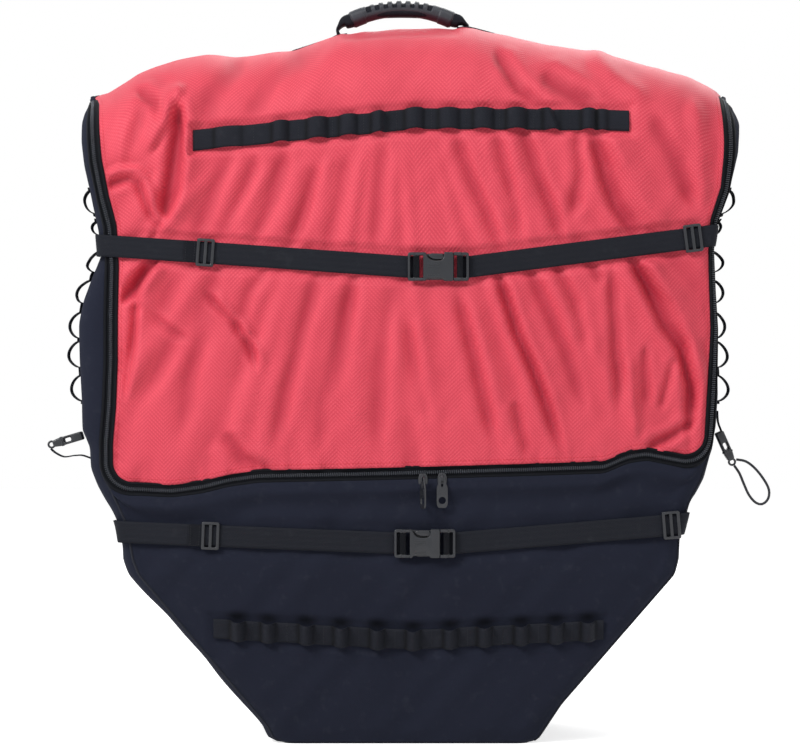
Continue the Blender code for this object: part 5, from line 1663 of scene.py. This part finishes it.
# %% Elastic rows on the front
UPPER_LOOPS = ((-0.2000, 0.34, 0.020, 0), (-0.1403, 0.80, 0.012, 0), (-0.0978, 0.95, 0.015, 0),
               (-0.0621, 0.70, 0.013, 0), (-0.0258, 1.00, 0.013, 1), (0.0138, 0.80, 0.014, 0),
               (0.0535, 0.80, 0.015, 0), (0.0932, 0.80, 0.015, 0), (0.1311, 1.00, 0.015, 0),
               (0.1715, 0.90, 0.013, 2), (0.2140, 0.95, 0.011, 0), (0.2300, 0.40, 0.008, 0))
LOWER_LOOPS = tuple((x, 1.0 + 0.12 * math.sin(5.0 * index), 0.0108, 0)
                    for index, x in enumerate(LOWER_LOOP_SPOTS))


def loop_rise(x, v, loops):
    """How far out a row stands, from 0 to about 1."""
    rise = np.zeros_like(x)
    for centre, size, reach, skew in loops:
        away = x - centre - (0.5 - v) * 0.009 * (skew == 2)
        width = 0.84 * np.where(away > 0, reach * (0.5 if skew else 1.0), reach)
        share = np.clip(1 - np.abs(away) / width, 0.0, 1.0)
        rise = np.maximum(rise, size * np.sin(share * math.pi / 2) ** 0.80)
    return rise


def loop_row(name, line, loops, stand, lean, tall, shift, node):
    left, right = line[0][0], line[-1][0]

    def place(u, v):
        x = left + u * (right - left)
        rise = loop_rise(x, v, loops)
        height = (line_height(line, x) + (v - 0.5) * tall + 0.0018 * rise * shift
                  + 0.0004 * ripple(x, 0.07, 0.8))
        lift = 0.0026 + stand * rise * (1 + lean * (v - 0.5)) - 0.0002 * np.abs(2 * v - 1) ** 6
        points = skin(x, level_of(x, height), lift, 0.006)
        return points, np.stack([(x - left) * 1.25, v * tall], axis=1)

    piece = lay(name, LOOP_ELASTIC, 300, 8, place, wall=0.0012)
    spots = points_of(piece)
    # Painted shade at the feet of each loop, stronger at the left foot, where the loop is in
    # shadow.
    dark = sum(share * np.exp(-((spots[:, 0] - centre - side * 0.80 * reach) / 0.0027) ** 2)
               for centre, _, reach, _ in loops for side, share in ((-1, 0.85), (1, 0.45)))
    keep_painted_shade(piece, np.clip(dark, 0.0, 0.9))
    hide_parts(node)
    sewn = [(first[0] + second[0]) / 2 for first, second in zip(loops, loops[1:])]
    for index, x in enumerate(sewn):
        at = on_front(x, float(line_height(line, x)))
        stitch_row(f"{name}_stitch_{index}", at, (0.0, -tall / 2 + 0.001),
                   (0.0, tall / 2 - 0.001), -0.0029)
    return piece


upper_row = loop_row("upper_loop_row", UPPER_ROW, UPPER_LOOPS, 0.0088, 0.10, 0.0240, 1.0,
                     "elastic_row_upper")
lower_row = loop_row("lower_loop_row", LOWER_ROW, LOWER_LOOPS, 0.0122, 0.55, 0.0225, -1.1,
                     "elastic_row_lower")
print("rows:", upper_row.name, lower_row.name)

# %% Webbing loops on the gussets
SIDE_LOOPS = ((0.3970, 0.4255, 0.0115), (0.4360, 0.4650, 0.0120), (0.4700, 0.4987, 0.0102),
              (0.5110, 0.5360, 0.0105), (0.5470, 0.5700, 0.0108), (0.5900, 0.6035, 0.0062))
TOP_LOOP = ((0.6150, 0.6400, 0.0082),)
LOOPS_Y = -0.105


def gusset_reach(word):
    """How far out a gusset stands at the loops, at each height."""
    spots = points_of(bpy.data.objects[f"gusset_{word}"])
    near = spots[np.abs(spots[:, 1] - LOOPS_Y) < 0.0045]
    heights = np.arange(0.38, 0.66, 0.006)
    return heights, np.array([np.abs(near[np.abs(near[:, 2] - height) < 0.006, 0]).max()
                              for height in heights])


def side_row(name, word, side, loops, low, high):
    """One ribbon up a gusset, sewn flat between its loops."""
    heights, reach = gusset_reach(word)

    def place_loops(u, v):
        height = low + u * (high - low)
        rise = np.zeros_like(height)
        for foot, top, size in loops:
            share = np.clip((height - foot) / (top - foot), 0.0, 1.0)
            rise = np.maximum(rise, size * np.sin(math.pi * share) ** 0.62)
        out = np.interp(height, heights, reach) + 0.0004 + rise
        spread = LOOPS_Y + (v - 0.5) * 0.0205
        return (np.stack([side * out, spread, height - 0.12 * rise], axis=1),
                np.stack([u * 0.36, v * 0.0215], axis=1))

    columns = 260 if len(loops) > 1 else 40
    row = lay(name, LOOP_ELASTIC, columns, 6, place_loops, wall=0.0013, flip=side < 0)
    return row


for side, word in ((-1, "left"), (1, "right")):
    row = side_row(f"side_loop_row_{word}", word, side, SIDE_LOOPS, 0.3930, 0.6080)
    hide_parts(f"side_loops_{word}")
    side_row(f"side_loop_top_{word}", word, side, TOP_LOOP, 0.6110, 0.6440)
print("side loops:", len(SIDE_LOOPS) + 1, "on each side")

# %% [markdown]
# ## Carry handle
# The grip is rubber moulded round the webbing, with a collar at each end and eight finger notches
# across its top. The webbing comes out of it in a tapered roll and is sewn to the crown, with a
# strip on each side that spreads the load.

# %% Grip
HANDLE_Y = -0.030
GRIP_HALF = 0.0605
GRIP_LOW = 0.848
NOTCHES = (-0.0388, -0.0287, -0.0186, -0.0085, 0.0019, 0.0122, 0.0219, 0.0324)


def grip_height(x):
    """Height of the grip's middle line."""
    return GRIP_LOW + 0.014 * (1 - (x / GRIP_HALF) ** 2)


def sweep(name, material, line, around, section, body):
    """A closed piece swept along a line of x and z, with both ends capped."""
    rows = np.vstack([line[:1], line[:1], line, line[-1:], line[-1:]])
    sizes = np.concatenate([[0.0, 0.6], np.ones(len(line)), [0.6, 0.0]])
    step = np.gradient(line, axis=0)
    out = np.stack([-step[:, 1], step[:, 0]], axis=1) / np.linalg.norm(step, axis=1)[:, None]
    out = np.vstack([out[:1], out[:1], out, out[-1:], out[-1:]])

    def place(u, v):
        index = np.round(u * (len(rows) - 1)).astype(int)
        size, spot = sizes[index], rows[index]
        share = np.clip((index - 2) / (len(line) - 1), 0.0, 1.0)
        across, height = section(spot[:, 0], share, 2 * math.pi * v)
        points = np.stack([spot[:, 0] + height * size * out[index, 0], HANDLE_Y + across * size,
                           spot[:, 1] + height * size * out[index, 1]], axis=1)
        return points, np.stack([share * 0.16, v * 0.075], axis=1)

    return settle(name, lay(name, material, len(rows) - 1, around, place, body=None), material,
                  body=body, angle=0.8)


def notch_share(x):
    """1 inside a finger notch, 0 between them."""
    return sum(np.clip(2.1 - np.abs(x - place) / 0.0014, 0.0, 1.0) for place in NOTCHES)


def grip_section(x, share, turn):
    top = eased((np.sin(turn) - 0.02) / 0.12)
    collar = eased((np.abs(x) - 0.0440) / 0.0015)
    bevel = 1 - 0.14 * eased((np.abs(x) - 0.0580) / 0.0025)
    ridge = eased((np.sin(turn) + 0.02) / 0.08) * (1 - collar)
    size = bevel * (1 + (0.0006 * ridge + 0.0009 * collar - 0.0034 * notch_share(x) * top) / 0.0110)
    across = 0.0132 * np.sign(np.cos(turn)) * np.abs(np.cos(turn)) ** 0.88
    fullness = np.where(np.sin(turn) < 0, 0.95, 0.70)
    height = 0.0092 * np.sign(np.sin(turn)) * np.abs(np.sin(turn)) ** fullness
    return across * size, height * size


grip_x = np.linspace(-GRIP_HALF, GRIP_HALF, 201)
grip = sweep("grip", RUBBER, np.stack([grip_x, grip_height(grip_x)], axis=1), 48, grip_section,
             "carry_handle")
spots = points_of(grip)
# Painted shade in the finger notches across the grip's top.
dark = notch_share(spots[:, 0]) * eased((spots[:, 2] - grip_height(spots[:, 0]) + 0.0004) / 0.0020)
keep_painted_shade(grip, 0.85 * dark)
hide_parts("handle_grip")
print("grip faces:", len(grip.data.polygons))


# %% Handle webbing and its strips
def crown_spot(x, y, lift):
    """Points on the crown over given x and y."""
    level = SPRING_LEVEL + CROWN_RISE * np.arccos(np.clip(-y / HALF_DEPTH, -1, 1)) * 2 / math.pi
    points = skin(x, level)
    points[..., 2] += lift
    return points


FOOT_X = {-1: -0.0752, 1: 0.0785}
foot = {side: float(crown_spot(np.array([x]), np.array([HANDLE_Y]), 0.0045)[0, 2])
        for side, x in FOOT_X.items()}
half_line = [(FOOT_X[-1], foot[-1]), (-0.0766, foot[-1] + 0.005), (-0.0745, 0.8405),
             (-0.0690, 0.8462), (-0.0600, 0.8482), (-0.0300, float(grip_height(0.03)))]
other_line = [(0.0300, float(grip_height(0.03))), (0.0600, 0.8490), (0.0690, 0.8478),
              (0.0752, 0.8440), (FOOT_X[1], foot[1])]
web_line = rounded_route([(x, 0.0, z) for x, z in half_line + other_line], 150)[:, (0, 2)]


def web_section(x, share, turn):
    near = eased((0.0790 - np.abs(x)) / 0.0150)
    thick = 0.0016 + 0.0062 * near ** 1.3
    across = 0.0124 * np.sign(np.cos(turn)) * np.abs(np.cos(turn)) ** 0.45
    return across, thick * np.sign(np.sin(turn)) * np.abs(np.sin(turn)) ** 0.75


handle_web = sweep("handle_strap", STRAP_WEBBING, web_line, 24, web_section, None)
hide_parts("handle_webbing")
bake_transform(handle_web)

for side, word in ((-1, "left"), (1, "right")):
    def place_strip(u, v, side=side):
        x = side * (0.0655 + u * (0.130 - 0.0655))
        lift = 0.0040 + 0.0016 * np.exp(-((u - 0.17) / 0.10) ** 2) - 0.0008 * u
        return (crown_spot(x, HANDLE_Y + (v - 0.5) * 0.025, lift),
                np.stack([u * 0.0625, v * 0.025], axis=1))

    strip = lay(f"handle_sewn_strip_{word}", STRAP_WEBBING, 40, 8, place_strip, wall=0.0026,
                flip=side < 0)
    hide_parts(f"handle_strip_{word}")
    ends = [crown_spot(np.array([side * x]), np.array([HANDLE_Y + y]), 0.0034)[0]
            for x, y in ((0.122, 0.0), (0.123, 0.0), (0.122, 0.001))]
    at = frame_at(ends[0], ends[1] - ends[0], np.cross(ends[1] - ends[0], ends[2] - ends[0]) * side)
    for index, place in enumerate((-0.004, 0.004)):
        stitch_row(f"handle_strip_stitch_{word}_{index}", at, (place, -0.011), (place, 0.011), 0.0)
print("handle feet at", {side: round(height, 4) for side, height in foot.items()})

# %% [markdown]
# ## Side buckles
# A small buckle hangs on each side from narrow webbing. The left one has swung out and up. The
# right one points down and holds the thin cord.

# %% Side buckles and their webbing
SIDE_Y = -0.100
SIDE_BUCKLES = {"left": ((-0.3885, 0.3515), math.radians(-16.5), -1),
                "right": ((0.3760, 0.3440), math.radians(66.0), 1)}
for word, ((x, z), turn, ring_side) in SIDE_BUCKLES.items():
    at = Matrix.Translation((x, SIDE_Y, z)) @ Matrix.Rotation(turn, 4, "Y")
    shape = rounded([(-0.018, -0.0050), (0.010, -0.0050), (0.018, -0.0036), (0.018, 0.0036),
                     (0.010, 0.0050), (-0.018, 0.0050)] if ring_side > 0 else
                    [(-0.018, -0.0036), (-0.010, -0.0050), (0.018, -0.0050), (0.018, 0.0050),
                     (-0.010, 0.0050), (-0.018, 0.0036)], 0.0022)
    body = plate(f"side_buckle_{word}_body", [shape, bar(-0.0040, 0.0040, -0.0022, 0.0022, 0.0018)],
                 0.0080, -0.0080, 0.0018, PLASTIC, at, f"side_buckle_{word}")
    band_x = sorted((ring_side * 0.0060, ring_side * 0.0085))
    collar = plate(f"side_buckle_{word}_collar", [bar(*band_x, -0.0056, 0.0056, 0.001)],
                   0.0084, -0.0084, 0.0009, PLASTIC, at, f"side_buckle_{word}")
    middle = ring_side * (0.018 + 0.0023)
    loop = np.array([at @ Vector((middle + 0.0036 * math.cos(a), 0.0, 0.0036 * math.sin(a)))
                     for a in np.linspace(0, 2 * math.pi, 25)[:-1]])
    ring = tube(f"side_buckle_{word}_ring", loop, 0.0013, PLASTIC, f"side_buckle_{word}",
                closed=True)
    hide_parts(f"side_buckle_{word}")


def narrow_web(word, route, node):
    """Webbing 12 mm wide along a route of x and z."""
    line = rounded_route([(x, SIDE_Y, z) for x, z in route], 61)

    def place(u, v):
        index = u * 60
        spot = np.stack([np.interp(index, np.arange(61), line[:, axis]) for axis in range(3)],
                        axis=1)
        spot[:, 1] += (v - 0.5) * 0.0115 * (1 - 0.08 * np.sin(math.pi * u))
        return spot, np.stack([u * 0.09, v * 0.012], axis=1)

    piece = lay(f"side_strap_{word}", STRAP_WEBBING, 60, 6, place, 0.0015, body=None, offset=0.0)
    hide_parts(node)
    return piece


left_skin = -float(side_reach(-1, 0.300)) - 0.0018
left_web = narrow_web("left", [(-0.3885 + out, 0.3515 + up) for out, up in (
    (-0.0200, -0.0109), (-0.0145, -0.0155), (-0.0045, -0.0200), (0.0085, -0.0185),
    (0.0205, -0.0195))] + [
        (left_skin - 0.0080 + 0.016, 0.3200), (left_skin + 0.003, 0.3000)], "side_webbing_left")
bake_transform(left_web)
right_skin = float(side_reach(1, 0.385)) + 0.0026
right_web = narrow_web("right", [(right_skin, 0.3850), (right_skin + 0.0010, 0.3720),
                                 (right_skin + 0.0045, 0.3620), (right_skin + 0.0060, 0.3570)],
                       "side_webbing_right")
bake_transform(right_web)
print("side webbing from x", round(left_skin, 4), "and", round(right_skin, 4))

# %% [markdown]
# ## Seams, bottom and inside
# A thin piping covers each seam of the body. Inside, each pad is a grid laid a little inside the
# cloth, with a wall and a bevel for its soft edge. Two straps cross in front of the divider.

# %% Piping and bottom
PIPING = thread_finish("navy_piping", (0.0056, 0.0068, 0.0125), 0.85)
for side, word in ((-1, "left"), (1, "right")):
    levels = np.linspace(0.003, SEAM_TOPS[side] - 0.004, 90)
    front_seam = tube(f"front_piping_{word}",
                      skin(side * body_edge(side, levels), levels, 0.0004), 0.0014, PIPING)
    levels = level_at_travel(np.linspace(0.003, float(travel_of(0.7585)), 150))
    back_seam = tube(f"back_piping_{word}",
                     skin(side * (back_edge(side, levels) + 0.0010), levels, 0.0006), 0.0015,
                     PIPING)


def place_bottom(u, v):
    x = -0.1405 + u * (0.1495 + 0.1405)
    room = np.minimum(x + 0.1405, 0.1495 - x)
    corner = 0.018 - np.clip(room, 0.0, 0.018)
    reach = 0.1185 - (0.018 - np.sqrt(np.maximum(0.018 ** 2 - corner ** 2, 0.0)))
    y = (2 * v - 1) * reach
    return np.stack([x, y, np.full_like(x, 0.0002)], axis=1), np.stack([x, y], axis=1)


bottom = lay("bottom_cloth", NAVY_CLOTH, 60, 40, place_bottom, wall=0.0032, flip=True)
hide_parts("bottom_panel")
print("bottom area:", round(area_of(bottom), 4))


# %% Pads and tie-downs inside
def pad(node, columns, rows, wall, place, flip=False):
    """A foam pad: a grid with a wall and softly rounded edges."""
    piece = lay(f"{node}_pad", FOAM, columns, rows, place, wall=wall, flip=flip)
    soft = piece.modifiers.new("soft_edge", "BEVEL")
    soft.width, soft.segments, soft.limit_method, soft.angle_limit = 0.002, 2, "ANGLE", 0.7
    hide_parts(node)
    return piece


def place_side_pad(u, v, side):
    level = 0.024 + v * 0.5945
    near, far = side_run(side, level)
    along = near + 0.0180 + u * (far - near - CORNER * math.pi - 0.0060)
    return skin(side * along, level, -0.0105), np.stack([along, level], axis=1)


def place_front_pad(u, v):
    level = 0.022 + v * 0.2492
    along = (2 * u - 1) * np.minimum(0.298, side_reach(2 * u - 1, level) - 0.026)
    return skin(along, level, -0.0078), np.stack([along, level], axis=1)


def place_back_pad(u, v):
    level = 0.022 + v * 0.648
    along = (2 * u - 1) * (side_reach(2 * u - 1, level) - 0.024)
    return skin(along, level, -0.0125, back=True), np.stack([along, level], axis=1)


def place_base_pad(u, v):
    x, y = -0.138 + u * 0.285, (2 * v - 1) * 0.112
    return np.stack([x, y, np.full_like(x, 0.0176)], axis=1), np.stack([x, y], axis=1)


def place_divider(u, v):
    z = 0.0180 + v * 0.582
    x = (2 * u - 1) * (side_reach(2 * u - 1, z) - 0.0165)
    return np.stack([x, np.full_like(x, 0.0300), z], axis=1), np.stack([x, z], axis=1)


pads = [pad("foam_left", 20, 40, 0.010, lambda u, v: place_side_pad(u, v, -1), flip=True),
        pad("foam_right", 20, 40, 0.010, lambda u, v: place_side_pad(u, v, 1)),
        pad("foam_front", 50, 30, 0.010, place_front_pad),
        pad("foam_back", 60, 60, 0.010, place_back_pad, flip=True),
        pad("base_foam", 30, 24, 0.010, place_base_pad),
        pad("wheel_divider", 60, 50, 0.006, place_divider)]
for slot in bpy.data.objects["base_board"].material_slots:
    slot.material = BOARD
for word, height in (("lower", 0.280), ("upper", 0.460)):
    def place_tie(u, v, height=height):
        x = -0.250 + 0.5 * u
        z = height + (v - 0.5) * WEBBING_WIDTH - 0.004 * np.sin(math.pi * u)
        spots = np.stack([x, 0.0283 + 0.0008 * np.sin(9 * u), z], axis=1)
        return spots, np.stack([x, v * WEBBING_WIDTH], axis=1)

    tie = lay(f"tie_down_{word}_strap", STRAP_WEBBING, 60, 6, place_tie, wall=0.0014)
    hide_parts(f"tie_down_{word}")
print("pads:", [piece.name for piece in pads])
